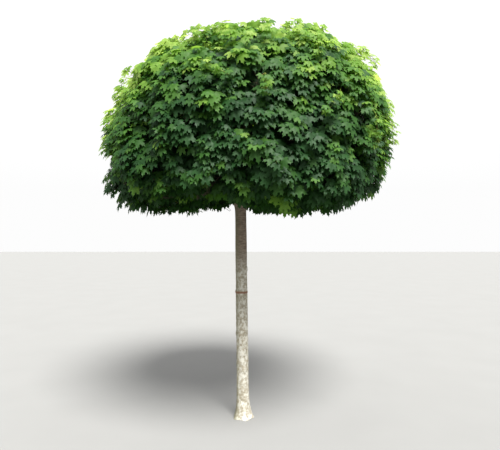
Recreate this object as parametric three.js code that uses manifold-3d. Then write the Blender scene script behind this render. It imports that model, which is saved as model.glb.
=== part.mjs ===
// A top-grafted globe maple: a straight clear trunk with a swollen graft union at its head, boughs that
// fan out of the union like the ribs of an umbrella, and one dense, dome-shaped crown of hanging
// five-lobed leaves.
// Millimetres and degrees, +Z up. The origin is on the level ground, in the middle of the flat cut under
// the trunk. Azimuth 0 is +X and 90 is +Y; elevation is measured up from level, seen from the crown's centre.
import * as THREE from "three";
import { mergeVertices } from "three/addons/utils/BufferGeometryUtils.js";
import Module from "manifold-3d";

const wasm = await Module();
wasm.setup();

// The trunk
const TRUNK_HEIGHT = 2045; // top of the graft union
const TRUNK_LEAN = 0.75; // the head stands towards -X of the foot
const TRUNK_RADIUS_FOOT = 54;
const TRUNK_RADIUS_NECK = 50.5; // just under the union
const NECK_HEIGHT = 1800;
const FLARE_EXTRA = 34; // how much the root flare adds to the radius at the ground
const FLARE_FADE = 75; // height over which the flare falls to a third
const FLARE_LOBES = 5;
const FLARE_LOBE_DEPTH = 0.3; // share of the flare's extra radius
const UNION_HEIGHT = 1965; // widest level of the graft union
const UNION_RADIUS = 82;
const UNION_SPREAD = 66; // half-height of the swelling
const UNION_SHOULDER = 1990; // from here up the union rounds over
const UNION_ROUNDING = 0.86; // 1 would close it to a point
const TRUNK_SIDES = 14;
const TRUNK_LEVELS = [0, 35, 85, 170, 340, 800, 1280, 1700, 1830, 1895, 1940, 1975, 2008, 2032, TRUNK_HEIGHT];

// The crown
const CROWN_CENTRE = new THREE.Vector3(51, 0, 2386);
const CROWN_RADIUS = 1308; // at the widest level
const CROWN_RISE = 937; // widest level to the top
const CROWN_DROP = 441; // widest level to the middle of the underside
const RIM_HANG = 0.3; // share by which the rim of the underside hangs lower than its middle
const CROWN_SAG = 0.2; // share by which the underside hangs lower on the sagging side, and higher opposite
const SAG_AZIMUTH = 270;
const TOP_SQUARENESS = 2.52; // 2 is an ellipse, more is squarer
const UNDERSIDE_SQUARENESS = [2.4, 6.3]; // least, and most on the square side
const SQUARE_AZIMUTH = 222;
const SIDE_LEAN = 0.074; // the upper crown is fuller towards +X by this share
const SIDE_LEAN_FULL = 0.7; // rise of the directions from which the lean is full
const LUMP = 0.022; // how far one mass may stand out of the even dome, or in from it
const LUMP_SHARPNESS = 9;
const UNDERSIDE_FROM = 0.15; // fall of the directions where the underside begins
const UNDERSIDE_FULL = 0.55;
const UNDERSIDE_HOLE_RADIUS = 290; // the bare middle of the underside, round the trunk

// The rings of masses, and the boughs that carry them
const MASS_RINGS = [
  { name: "low", count: 7, elevation: -4, firstAzimuth: 12 },
  { name: "high", count: 5, elevation: 42, firstAzimuth: 38 },
  { name: "top", count: 1, elevation: 88, firstAzimuth: 150 },
];
const WANDER_AZIMUTH = 6; // how far a mass may stand from its even place in the ring, each way
const WANDER_ELEVATION = 3;
const BOUGHS = {
  low: { seat: [48, 1946], rise: 60, launch: 300, arrive: 260, rootRadius: 22, tipRadius: 13 },
  high: { seat: [36, 2000], rise: 74, launch: 300, arrive: 220, rootRadius: 19, tipRadius: 12 },
  top: { seat: [0, 2010], rise: 90, launch: 300, arrive: 260, rootRadius: 17, tipRadius: 11 },
}; // seat: distance from the trunk's middle line, and height
const BOUGH_END = 0.62; // share of the way from the crown's centre to its outline
const BOUGH_SIDES = 7;
const BOUGH_STEPS = 6;
const CLEARANCE = 0.3; // between pieces that meet
const JOIN_TOLERANCE = 0.05; // edges shorter than this close up where solids are joined

// A mass: a dense core, which its stem runs into and its twigs and leaves stand out of
const OUTLINE = { side: 0, top: 0, underside: 0 }; // depths behind the crown's outline
const CORE_OUTER = { side: 140, top: 115, underside: 120 };
const CORE_MIDDLE = { side: 205, top: 170, underside: 160 };
const CORE_INNER = { side: 280, top: 230, underside: 200 };
const CORE_RIPPLE = 0.022; // how uneven the core is
const CORE_GROOVE = 0.03; // how much lower the core lies where two masses meet
const CORE_GROOVE_WIDTH = 0.05;
const CORE_GAP = 6; // from a core to the plane between two masses
const OUTER_DETAIL = 5; // how often each face of the ball that makes a shell is split
const INNER_DETAIL = 2;
const STEM_TAPER = 0.3;
const STEM_FORKS = [0.75, 0.95]; // the twigs leave the stem between these shares of its length
const TWIG_TARGETS = 234; // over the whole ball of directions
const TWIG_LOWEST = -52; // no twigs below this elevation
const TWIG_ROOT_RADIUS = 7;
const TWIG_TIP_RADIUS = 2.5;

// A leaf, measured from the point where its five lobes meet. It stands for a spray: it is twice life size.
const LEAF_LENGTH = 205; // to the tip of the middle lobe
const LEAF_TIP = [0, 1]; // angle from the middle lobe, and length as a share of it
const LEAF_NOTCH = [24, 0.5];
const LEAF_UPPER_LOBE = [47, 0.92];
const LEAF_LOWER_LOBE = [100, 0.58];
const LEAF_STALK = [180, 0.3];
const LEAF_THICKNESS = 7;
const LEAF_DROOP = 0.16; // how far the lobes hang below the middle
const LEAF_VARIETY = 0.12; // share of its length

// How the leaves hang
const LEAF_LIFT = 24; // how far a leaf stands off the slope of the crown
const LEAF_HANG_LEAST = 4; // a leaf hangs at least and at most this far below level
const LEAF_HANG_MOST = 66;
const LEAF_HANG_UNDERSIDE = 46;
const LEAF_UNDERSIDE = 0.72; // size of the leaves under the crown, as a share of the others
const LEAF_YAW = 30; // how far a leaf may be turned from the even shingling, each way
const LEAF_TILT = 7;
const LEAF_ROLL = 12;
const LEAF_DEPTH = 0.022; // how far behind the outline a leaf may stay
const LEAF_DEEPEST_ROOT = 0.5;
const LEAF_TRIES = 12;
const LEAF_SHIFT = 0.035; // how far each try moves the leaf towards the middle of its mass
const LEAF_GAP = 5; // from a leaf's corners to the plane between two masses
const LIMB_GAP = 40; // from a leaf to the trunk and the boughs
const LIMB_BALL_STEP = 25; // the limbs are felt for by balls strung this close
const SHOOT_LOWEST = 24; // above this elevation some leaves sit on young shoots that stand out of the dome
const SHOOT_CHANCE = 0.15;
const SHOOT_EXTRA = 0.035;
const SHOOT_HANG = 24; // how much more a shoot's leaves hang
const SHOOT_LEAF = 0.7; // size of a shoot's leaves, as a share of the others

// The seeded numbers that every random choice is drawn from
function seededRandom(seed) {
  let state = seed >>> 0;
  return () => {
    state = (state + 0x6d2b79f5) >>> 0;
    let t = state;
    t = Math.imul(t ^ (t >>> 15), t | 1);
    t ^= t + Math.imul(t ^ (t >>> 7), t | 61);
    return ((t ^ (t >>> 14)) >>> 0) / 4294967296;
  };
}

const { clamp, lerp, smoothstep, degToRad: radians, radToDeg: degrees } = THREE.MathUtils;
const UP = new THREE.Vector3(0, 0, 1);
const GOLDEN_ANGLE = 180 * (3 - Math.sqrt(5));

// An even choice from -spread to spread
function within(spread, random) {
  return spread * (2 * random() - 1);
}

function direction(azimuth, elevation) {
  const level = Math.cos(radians(elevation));
  return new THREE.Vector3(
    level * Math.cos(radians(azimuth)),
    level * Math.sin(radians(azimuth)),
    Math.sin(radians(elevation)),
  );
}

// Directions spread evenly over the ball, along a spiral that turns by the golden angle
function evenDirections(count) {
  return Array.from({ length: count }, (_, i) => {
    const height = 1 - (2 * i + 1) / count;
    return direction(i * GOLDEN_ANGLE, degrees(Math.asin(height)));
  });
}

// Closed solids for joining and cutting
function solidOf(geometry) {
  const bare = geometry.index ? geometry.toNonIndexed() : geometry.clone();
  bare.deleteAttribute("normal");
  bare.deleteAttribute("uv");
  const merged = mergeVertices(bare, 1e-3);
  return new wasm.Manifold(
    new wasm.Mesh({
      numProp: 3,
      vertProperties: new Float32Array(merged.attributes.position.array),
      triVerts: new Uint32Array(merged.index.array),
      tolerance: JOIN_TOLERANCE,
    }),
  );
}

function geometryOf(solid) {
  const mesh = solid.getMesh();
  const geometry = new THREE.BufferGeometry();
  const places = new Float32Array(mesh.numVert * 3);
  for (let i = 0; i < mesh.numVert; i++) {
    places.set(mesh.vertProperties.subarray(i * mesh.numProp, i * mesh.numProp + 3), i * 3);
  }
  geometry.setAttribute("position", new THREE.BufferAttribute(places, 3));
  geometry.setIndex(new THREE.BufferAttribute(new Uint32Array(mesh.triVerts), 1));
  geometry.computeVertexNormals();
  return geometry;
}

// Joins neighbours two by two, so that no join works on the whole mass more often than it must
function joined(solids) {
  let parts = solids;
  while (parts.length > 1) {
    const pairs = [];
    for (let i = 0; i < parts.length; i += 2) {
      pairs.push(i + 1 < parts.length ? parts[i].add(parts[i + 1]) : parts[i]);
    }
    parts = pairs;
  }
  return parts[0];
}

// The largest body alone, so that a loose scrap is dropped and a sealed hollow is filled
function largestBody(solid) {
  return solid.decompose().reduce((best, body) => (body.volume() > best.volume() ? body : best));
}

// Moves every corner of a geometry by a function of its place
function reshaped(geometry, move) {
  const places = geometry.attributes.position;
  const corner = new THREE.Vector3();
  for (let i = 0; i < places.count; i++) {
    corner.fromBufferAttribute(places, i);
    move(corner);
    places.setXYZ(i, corner.x, corner.y, corner.z);
  }
  return geometry;
}

// The trunk: level sections up a leaning line, so that the foot is a flat cut on the ground
function trunkCentre(height) {
  return new THREE.Vector3(-Math.tan(radians(TRUNK_LEAN)) * height, 0, height);
}

function trunkRadius(height, angle) {
  const pole = lerp(TRUNK_RADIUS_FOOT, TRUNK_RADIUS_NECK, Math.min(height / NECK_HEIGHT, 1));
  const lobes = 1 + FLARE_LOBE_DEPTH * Math.cos(FLARE_LOBES * angle);
  const flare = FLARE_EXTRA * lobes * Math.exp(-height / FLARE_FADE);
  const fromUnion = (height - UNION_HEIGHT) / UNION_SPREAD;
  const union = (UNION_RADIUS - TRUNK_RADIUS_NECK) * Math.exp(-fromUnion * fromUnion);
  const over = Math.max(height - UNION_SHOULDER, 0) / (TRUNK_HEIGHT - UNION_SHOULDER);
  return (pole + flare + union) * Math.sqrt(1 - UNION_ROUNDING * over * over);
}

function trunkGeometry(extra) {
  const steps = TRUNK_LEVELS.length - 1;
  const tube = new THREE.CylinderGeometry(1, 1, steps, TRUNK_SIDES, steps);
  return reshaped(tube, (corner) => {
    const level = Math.round(corner.y + steps / 2);
    const height = TRUNK_LEVELS[level];
    const angle = Math.atan2(-corner.z, corner.x);
    const reach = Math.hypot(corner.x, corner.z) < 0.5 ? 0 : trunkRadius(height, angle) + extra;
    const centre = trunkCentre(height);
    const over = level === steps ? extra : 0;
    corner.set(centre.x + reach * Math.cos(angle), reach * Math.sin(angle), height + over);
  });
}

// A limb: a tapering tube along a curve, closed at both ends
function limbGeometry(curve, radiusAt, sides, steps) {
  const frames = curve.computeFrenetFrames(steps, false);
  const tube = new THREE.CylinderGeometry(1, 1, steps, sides, steps);
  return reshaped(tube, (corner) => {
    const step = Math.round(corner.y + steps / 2);
    const radius = radiusAt(step / steps);
    const point = curve.getPointAt(step / steps);
    point.addScaledVector(frames.binormals[step], corner.x * radius);
    point.addScaledVector(frames.normals[step], corner.z * radius);
    corner.copy(point);
  });
}

// The masses, each a little off its even place so that no two are alike
const wander = (index, kind) => Math.sin(GOLDEN_ANGLE * (index + 1) + kind);

const masses = [];
for (const ring of MASS_RINGS) {
  for (let i = 0; i < ring.count; i++) {
    const index = masses.length;
    const azimuth = ring.firstAzimuth + (360 / ring.count) * i + WANDER_AZIMUTH * wander(index, 1);
    masses.push({
      ring: ring.name,
      label: ring.count > 1 ? `${ring.name}_${i + 1}` : ring.name,
      azimuth,
      axis: direction(azimuth, ring.elevation + WANDER_ELEVATION * wander(index, 2)),
      lump: 1 + LUMP * wander(index, 3),
    });
  }
}

// How far the crown's outline reaches from its centre in a direction, or a surface some way behind it
function crownReach(towards, inset = OUTLINE) {
  const flat = Math.hypot(towards.x, towards.y);
  const level = flat / (CROWN_RADIUS - inset.side);
  const above = towards.z > 0;
  const sag = 1 + CROWN_SAG * towards.dot(direction(SAG_AZIMUTH, 0));
  const drop = CROWN_DROP * sag * (1 + RIM_HANG * flat * flat);
  const height = above ? CROWN_RISE - inset.top : drop - inset.underside;
  const squareSide = flat > 0 ? towards.dot(direction(SQUARE_AZIMUTH, 0)) / flat : 0;
  const underneath = lerp(...UNDERSIDE_SQUARENESS, (1 + squareSide) / 2);
  const squareness = above ? TOP_SQUARENESS : underneath;
  const even = (level ** squareness + (Math.abs(towards.z) / height) ** squareness) ** (-1 / squareness);
  let share = 0;
  let total = 0;
  for (const mass of masses) {
    const weight = Math.exp(LUMP_SHARPNESS * (mass.axis.dot(towards) - 1));
    share += weight * mass.lump;
    total += weight;
  }
  const lean = SIDE_LEAN * clamp(towards.z / SIDE_LEAN_FULL, 0, 1) * towards.x;
  return even * (share / total) * (1 + lean);
}

function crownPoint(towards, share, inset) {
  return CROWN_CENTRE.clone().addScaledVector(towards, crownReach(towards, inset) * share);
}

// The slope of the crown's outline: how far its tangent falls below level, walking outwards
function crownSlope(towards) {
  const across = new THREE.Vector3(-towards.y, towards.x, 0).normalize();
  const step = radians(2);
  const higher = crownPoint(towards.clone().applyAxisAngle(across, -step), 1);
  const lower = crownPoint(towards.clone().applyAxisAngle(across, step), 1);
  const fall = lower.sub(higher);
  const outwards = Math.hypot(fall.x, fall.y) * Math.sign(fall.x * towards.x + fall.y * towards.y);
  return degrees(Math.atan2(-fall.z, outwards));
}

// How far out a point is: 0 at the crown's centre and 1 on its outline
function crownShare(point) {
  const arm = point.clone().sub(CROWN_CENTRE);
  const length = arm.length();
  return length / crownReach(arm.divideScalar(length));
}

// Each mass keeps to the directions that are nearest to its own axis, so its space is a cone with flat sides
for (const mass of masses) {
  mass.sides = masses
    .filter((other) => other !== mass)
    .map((other) => other.axis.clone().sub(mass.axis).normalize());
}

function outsideSpace(mass, point) {
  const arm = point.clone().sub(CROWN_CENTRE);
  return Math.max(...mass.sides.map((across) => arm.dot(across)));
}

function nearestMass(towards) {
  return masses.reduce((best, mass) => (mass.axis.dot(towards) > best.axis.dot(towards) ? mass : best));
}

// The boughs
function boughCurve(mass) {
  const size = BOUGHS[mass.ring];
  const outwards = direction(mass.azimuth, 0);
  const seat = trunkCentre(size.seat[1]).addScaledVector(outwards, size.seat[0]);
  const tip = crownPoint(mass.axis, BOUGH_END);
  const leaving = seat.clone().addScaledVector(direction(mass.azimuth, size.rise), size.launch);
  const arriving = tip.clone().addScaledVector(mass.axis, -size.arrive);
  return new THREE.CubicBezierCurve3(seat, leaving, arriving, tip);
}

// How far a point is from the nearest limb's surface, from balls strung along the limbs
const limbBalls = masses.flatMap((mass) => {
  const curve = boughCurve(mass);
  const count = Math.ceil(curve.getLength() / LIMB_BALL_STEP);
  return curve.getSpacedPoints(count).map((centre) => ({ centre, radius: BOUGHS[mass.ring].rootRadius }));
});
for (let height = 0; height <= TRUNK_HEIGHT; height += LIMB_BALL_STEP) {
  limbBalls.push({ centre: trunkCentre(height), radius: UNION_RADIUS });
}

function limbDistance(point) {
  return Math.min(...limbBalls.map((ball) => ball.centre.distanceTo(point) - ball.radius));
}

function boughSolid(mass, trunkCutter) {
  const size = BOUGHS[mass.ring];
  const radiusAt = (along) => lerp(size.rootRadius, size.tipRadius, along);
  const limb = solidOf(limbGeometry(boughCurve(mass), radiusAt, BOUGH_SIDES, BOUGH_STEPS));
  return largestBody(limb.subtract(trunkCutter));
}

// The shell that the cores are cut from: the crown between two depths, uneven outside and open underneath
function ripple(towards) {
  const across = Math.sin(23 * towards.x + 5) * Math.sin(19 * towards.y + 2);
  return across + 0.7 * Math.sin(27 * towards.z + 9 * towards.x);
}

function groove(towards) {
  const [nearest, next] = masses.map((mass) => mass.axis.dot(towards)).sort((a, b) => b - a);
  return Math.exp(-(nearest - next) / CORE_GROOVE_WIDTH);
}

function domeSolid(detail, inset, shareAt) {
  const ball = new THREE.IcosahedronGeometry(1, detail);
  return solidOf(
    reshaped(ball, (corner) => {
      const towards = corner.clone().normalize();
      corner.copy(crownPoint(towards, shareAt(towards), inset));
    }),
  );
}

function undersideHole() {
  const height = 2 * CROWN_DROP;
  const hole = new THREE.CylinderGeometry(UNDERSIDE_HOLE_RADIUS, UNDERSIDE_HOLE_RADIUS, height, TRUNK_SIDES);
  hole.rotateX(Math.PI / 2);
  return solidOf(hole.translate(trunkCentre(NECK_HEIGHT).x, 0, CROWN_CENTRE.z - height / 2));
}

const uneven = (towards) => 1 + CORE_RIPPLE * ripple(towards) - CORE_GROOVE * groove(towards);
const shell = domeSolid(OUTER_DETAIL, CORE_OUTER, uneven)
  .subtract(domeSolid(INNER_DETAIL, CORE_INNER, () => 1))
  .subtract(undersideHole());

// The core of a mass: the shell without what lies beyond each flat side of the mass's space
function coreSolid(mass) {
  const size = 4 * CROWN_RADIUS;
  const cut = mass.sides.reduce((core, across) => {
    const middle = CROWN_CENTRE.clone().addScaledVector(across, size / 2 - CORE_GAP);
    const beyond = new THREE.BoxGeometry(size, size, size);
    beyond.applyQuaternion(new THREE.Quaternion().setFromUnitVectors(UP, across));
    return core.subtract(solidOf(beyond.translate(middle.x, middle.y, middle.z)));
  }, shell);
  return largestBody(cut);
}

// A leaf's corners, once round its edge
const LEAF_SIDE = [LEAF_NOTCH, LEAF_UPPER_LOBE, LEAF_LOWER_LOBE];
const LEAF_EDGE = [
  LEAF_TIP,
  ...LEAF_SIDE,
  LEAF_STALK,
  ...LEAF_SIDE.map(([angle, reach]) => [-angle, reach]).reverse(),
];

// In a leaf's own axes x runs towards its tip, y across it and z out of its upper face
function leafCorners(length) {
  return LEAF_EDGE.map(([angle, reach]) => {
    const droop = angle === LEAF_STALK[0] ? 0 : LEAF_DROOP * reach * reach;
    return direction(angle, 0).multiplyScalar(reach).setZ(-droop).multiplyScalar(length);
  });
}

// A ball of two rings of faces: its equator becomes the leaf's edge and its poles the leaf's two faces
function leafGeometry(length, place) {
  const corners = leafCorners(length);
  const leaf = new THREE.SphereGeometry(1, corners.length, 2);
  reshaped(leaf, (corner) => {
    const turns = Math.atan2(-corner.z, corner.x) / (2 * Math.PI) + 1;
    if (Math.abs(corner.y) > 0.5) {
      corner.set(0, 0, (Math.sign(corner.y) * LEAF_THICKNESS) / 2);
    } else {
      corner.copy(corners[Math.round(turns * corners.length) % corners.length]);
    }
  });
  return leaf.applyMatrix4(place);
}

// Where a leaf's own axes lie: it hangs outwards and down, turned to one side and rolled a little
function leafPlace(root, length, outwards, pitch, yaw, roll) {
  const hanging = outwards.clone().multiplyScalar(Math.cos(pitch)).addScaledVector(UP, -Math.sin(pitch));
  const facing = outwards.clone().multiplyScalar(Math.sin(pitch)).addScaledVector(UP, Math.cos(pitch));
  hanging.applyAxisAngle(facing, yaw);
  facing.applyAxisAngle(hanging, roll);
  const across = new THREE.Vector3().crossVectors(facing, hanging);
  const middle = root.clone().addScaledVector(hanging, (LEAF_STALK[1] / 2) * length);
  return new THREE.Matrix4().makeBasis(hanging, across, facing).setPosition(middle);
}

function undersideShare(towards) {
  return smoothstep(-towards.z, UNDERSIDE_FROM, UNDERSIDE_FULL);
}

function leafPitch(towards) {
  const most = lerp(LEAF_HANG_MOST, LEAF_HANG_UNDERSIDE, undersideShare(towards));
  return radians(clamp(crownSlope(towards) - LEAF_LIFT, LEAF_HANG_LEAST, most));
}

function leafFits(mass, length, place) {
  return leafCorners(length).every((point) => {
    const halfway = point.clone().divideScalar(2).applyMatrix4(place);
    const corner = point.applyMatrix4(place);
    const clear = Math.min(limbDistance(corner), limbDistance(halfway));
    return outsideSpace(mass, corner) < -LEAF_GAP && clear > LIMB_GAP;
  });
}

// A leaf near a direction, its root pulled in until its furthest lobe just reaches its share of the outline
function settledLeaf(towards, length, reach, turn) {
  const outwards = new THREE.Vector3(towards.x, towards.y, 0).normalize();
  const pitch = leafPitch(towards) + turn.tilt;
  const placeAt = (share) =>
    leafPlace(crownPoint(towards, share), length, outwards, pitch, turn.yaw, turn.roll);
  const furthest = (share) => {
    const place = placeAt(share);
    return Math.max(...leafCorners(length).map((corner) => crownShare(corner.applyMatrix4(place))));
  };
  let inside = LEAF_DEEPEST_ROOT;
  let outside = reach;
  while (outside - inside > 0.001) {
    const middle = (inside + outside) / 2;
    [inside, outside] = furthest(middle) < reach ? [middle, outside] : [inside, middle];
  }
  return placeAt(inside);
}

// The first leaf that fits, each try turned at random and set a little nearer to the middle of its mass
function fittingLeaf(mass, target, random) {
  const isShoot = target.z > Math.sin(radians(SHOOT_LOWEST)) && random() < SHOOT_CHANCE;
  const smaller = (isShoot ? SHOOT_LEAF : 1) * lerp(1, LEAF_UNDERSIDE, undersideShare(target));
  const length = LEAF_LENGTH * smaller * (1 + within(LEAF_VARIETY, random));
  const reach = (isShoot ? 1 + SHOOT_EXTRA : 1) - LEAF_DEPTH * random();
  for (let attempt = 0; attempt < LEAF_TRIES; attempt++) {
    const towards = target.clone().lerp(mass.axis, LEAF_SHIFT * attempt).normalize();
    const turn = {
      yaw: radians(within(LEAF_YAW, random)),
      tilt: radians(within(LEAF_TILT, random) + (isShoot ? SHOOT_HANG : 0)),
      roll: radians(within(LEAF_ROLL, random)),
    };
    const place = settledLeaf(towards, length, reach, turn);
    if (leafFits(mass, length, place)) {
      return { towards, place, blade: leafGeometry(length, place) };
    }
  }
  return null;
}

// A mass: its stem takes over 0.3 mm clear of the bough's tip, and twigs branch from the stem to the leaves
function massSolid(mass, seed) {
  const random = seededRandom(seed);
  const size = BOUGHS[mass.ring];
  const boughTip = crownPoint(mass.axis, BOUGH_END).addScaledVector(mass.axis, CLEARANCE);
  const stem = new THREE.LineCurve3(boughTip, crownPoint(mass.axis, 1, CORE_MIDDLE));
  const stemRadius = (along) => size.tipRadius * (1 - STEM_TAPER * along);
  const twigRadius = (along) => lerp(TWIG_ROOT_RADIUS, TWIG_TIP_RADIUS, along);
  const parts = [coreSolid(mass), solidOf(limbGeometry(stem, stemRadius, BOUGH_SIDES, 1))];
  for (const target of evenDirections(TWIG_TARGETS)) {
    if (nearestMass(target) !== mass || target.z < Math.sin(radians(TWIG_LOWEST))) {
      continue;
    }
    const leaf = fittingLeaf(mass, target, random);
    if (!leaf) {
      continue;
    }
    const fork = stem.getPointAt(lerp(...STEM_FORKS, random()));
    const bend = crownPoint(leaf.towards, 1, CORE_MIDDLE);
    const end = new THREE.Vector3().setFromMatrixPosition(leaf.place);
    parts.push(solidOf(leaf.blade));
    parts.push(solidOf(limbGeometry(new THREE.LineCurve3(bend, end), twigRadius, 3, 1)));
    parts.push(solidOf(limbGeometry(new THREE.LineCurve3(fork, bend), () => TWIG_ROOT_RADIUS, 3, 1)));
  }
  return largestBody(joined(parts));
}

const BARK = new THREE.MeshStandardMaterial({ color: 0x7d6f5c, roughness: 0.9, metalness: 0 });
const YOUNG_BARK = new THREE.MeshStandardMaterial({ color: 0x6f6048, roughness: 0.85, metalness: 0 });
const FOLIAGE = new THREE.MeshStandardMaterial({ color: 0x4b7a2c, roughness: 0.55, metalness: 0 });

function node(name, geometry, material) {
  const mesh = new THREE.Mesh(geometry, material);
  mesh.name = name;
  return mesh;
}

const tree = new THREE.Group();
tree.name = "globe_maple";
const trunkCutter = solidOf(trunkGeometry(CLEARANCE));
tree.add(node("trunk", trunkGeometry(0), BARK));
masses.forEach((mass, index) => {
  tree.add(node(`bough_${mass.label}`, geometryOf(boughSolid(mass, trunkCutter)), YOUNG_BARK));
  tree.add(node(`foliage_${mass.label}`, geometryOf(massSolid(mass, 401 + index)), FOLIAGE));
});

export default tree;
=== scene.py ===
# %% [markdown]
# # A globe maple, dressed leaf by leaf
# The tree is a top-grafted maple: a straight clear trunk, a swollen graft union at its head, boughs that fan
# out of it like the ribs of an umbrella, and one dense dome of hanging leaves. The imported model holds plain
# solids for all of these. Here each of them gets the form and the finish of the real thing, in metres and in
# the same frame, so nothing has to be fitted afterwards.

# %% Load the frame
import math

import bpy
import numpy as np
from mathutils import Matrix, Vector, noise


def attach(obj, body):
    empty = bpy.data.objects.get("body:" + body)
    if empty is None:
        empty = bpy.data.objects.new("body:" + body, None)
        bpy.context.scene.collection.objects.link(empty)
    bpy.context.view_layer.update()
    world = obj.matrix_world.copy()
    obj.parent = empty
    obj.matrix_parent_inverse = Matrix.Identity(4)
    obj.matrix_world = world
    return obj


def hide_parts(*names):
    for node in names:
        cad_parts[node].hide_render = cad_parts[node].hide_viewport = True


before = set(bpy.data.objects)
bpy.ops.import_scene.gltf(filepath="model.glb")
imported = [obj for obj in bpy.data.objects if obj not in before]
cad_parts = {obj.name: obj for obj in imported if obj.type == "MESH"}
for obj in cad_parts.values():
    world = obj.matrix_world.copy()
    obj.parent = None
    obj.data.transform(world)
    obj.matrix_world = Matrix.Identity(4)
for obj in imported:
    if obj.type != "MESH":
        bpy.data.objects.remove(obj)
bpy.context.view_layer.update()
bpy.ops.object.select_all(action="DESELECT")

# %% [markdown]
# ## The camera
# The tree is seen from standing eye height, about four metres from the trunk, by an eye that looks up a
# little. A camera could also be aimed with a constraint, but a plain place and tilt say what was found.

# %% Camera
CAMERA_PLACE = (0.061, -4.077, 1.61)
CAMERA_TILT = 1.53  # degrees above level
CAMERA_LENS = 32.4  # millimetres
SENSOR_WIDTH = 36

bpy.ops.object.camera_add(location=CAMERA_PLACE, rotation=(math.radians(90 + CAMERA_TILT), 0, 0))
camera = bpy.context.object
camera.name = "eye"
camera.data.lens = CAMERA_LENS
camera.data.sensor_width = SENSOR_WIDTH
bpy.context.scene.camera = camera
print("camera looks up by", CAMERA_TILT, "degrees from", CAMERA_PLACE)

# %% [markdown]
# ## A way to write finishes
# A finish is a net of nodes. Wiring each node by hand hides the idea behind it, so a value that leaves a node
# is wrapped in a small class here. Sums and products of such values can then be written as they are on paper,
# and each one adds its Math node. Every other node comes from one method, `node`.

# %% Values and finishes
class Value:
    """An output of a node that can be added and multiplied; each operation adds a Math node."""

    def __init__(self, finish, socket):
        self.finish = finish
        self.socket = socket

    def math(self, operation, first, second):
        return self.finish.node("Math", {"operation": operation}, {0: first, 1: second})

    def __add__(self, other):
        return self.math("ADD", self, other)

    def __radd__(self, other):
        return self.math("ADD", other, self)

    def __mul__(self, other):
        return self.math("MULTIPLY", self, other)

    def __rmul__(self, other):
        return self.math("MULTIPLY", other, self)


class Finish:
    """A material under construction, or another net of nodes if its tree is given."""

    def __init__(self, name, tree=None):
        if tree is None:
            self.material = bpy.data.materials.new(name)
            self.material.use_nodes = True
            tree = self.material.node_tree
        self.tree = tree
        self.tree.nodes.clear()

    def node(self, kind, settings=None, sockets=None, output=0):
        """Adds a node, sets its settings, then its sockets' values or links, and returns one output."""
        made = self.tree.nodes.new("ShaderNode" + kind)
        for name, value in (settings or {}).items():
            setattr(made, name, value)
        for name, value in (sockets or {}).items():
            if isinstance(value, Value):
                self.tree.links.new(value.socket, made.inputs[name])
            else:
                made.inputs[name].default_value = value
        return Value(self, made.outputs[output]) if made.outputs else None

    def place(self, stretch=(1, 1, 1)):
        """The point on the piece, in metres, with each direction stretched."""
        here = self.node("TexCoord", output="Object")
        return self.node("Mapping", sockets={"Vector": here, "Scale": stretch})

    def noise(self, where, scale, detail=2.0, roughness=0.5):
        grain = {"Vector": where, "Scale": scale, "Detail": detail, "Roughness": roughness}
        return self.node("TexNoise", sockets=grain)

    def streaks(self, fineness, detail, roughness):
        """Noise that is finer in some directions than in others."""
        return self.noise(self.place(fineness), 1.0, detail, roughness)

    def step(self, value, start, end):
        """0 below start, 1 above end, and smooth between; start may be the larger one."""
        ends = {"Value": value, "From Min": start, "From Max": end}
        return self.node("MapRange", {"interpolation_type": "SMOOTHSTEP"}, ends)

    def mix(self, share, first, second):
        """The first colour where share is 0 and the second where it is 1."""
        return self.node("Mix", {"data_type": "RGBA"}, {0: share, 6: first, 7: second}, output=2)

    def surface(self, sockets):
        return self.node("BsdfPrincipled", sockets=sockets)

    def relief(self, height, distance, strength):
        """A bump of that many metres."""
        return self.node("Bump", sockets={"Height": height, "Distance": distance, "Strength": strength})

    def done(self, shader, output="OutputMaterial"):
        self.node(output, sockets={"Surface": shader})


print("finishes can be written now")

# %% [markdown]
# ## Sky and lamp
# The tree stands in bright daylight that makes no hard shadow. An almost even dome of light gives the white
# sky, and one lamp as wide as a bank of cloud, above and in front of the tree, lights the tips of the leaves
# and keeps the gaps between them dark. A small lamp would draw a hard shadow under each leaf. The picture's
# look has a little more contrast than the plain one, as a photograph has.

# %% Dome of light and lamp
SKY_FOOT = 0.82
SKY_OVERHEAD = 1.1
SKY_RISES_FROM = 0.1  # height on the dome, as a share
SKY_COLOUR = (1.0, 1.0, 1.0, 1)
LAMP_STRENGTH = 7.2
LAMP_COLOUR = (1.0, 0.99, 0.96)
LAMP_WIDTH = 28  # degrees of sky that the lamp covers
LAMP_TURN = (34, 14)  # degrees that it leans towards the viewer, and to the right

world = bpy.data.worlds.new("studio_sky")
bpy.context.scene.world = world
world.use_nodes = True
sky = Finish("sky", world.node_tree)
looking = sky.node("TexCoord", output="Generated")
sky_height = sky.node("SeparateXYZ", sockets={0: looking}, output="Z")
sky_range = {"Value": sky_height, "From Min": SKY_RISES_FROM, "To Min": SKY_FOOT, "To Max": SKY_OVERHEAD}
sky_strength = sky.node("MapRange", sockets=sky_range)
sky_light = sky.node("Background", sockets={"Color": SKY_COLOUR, "Strength": sky_strength})
sky.done(sky_light, "OutputWorld")

bpy.ops.object.light_add(type="SUN", location=(0, 0, 8))
lamp = bpy.context.object
lamp.name = "cloud_lamp"
lamp.rotation_euler = (math.radians(LAMP_TURN[0]), math.radians(LAMP_TURN[1]), 0)
lamp.data.energy = LAMP_STRENGTH
lamp.data.angle = math.radians(LAMP_WIDTH)
lamp.data.color = LAMP_COLOUR
bpy.context.scene.view_settings.view_transform = "Standard"
bpy.context.scene.view_settings.look = "Medium High Contrast"
print("sky from", SKY_FOOT, "to", SKY_OVERHEAD, "lamp", LAMP_STRENGTH)

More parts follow.
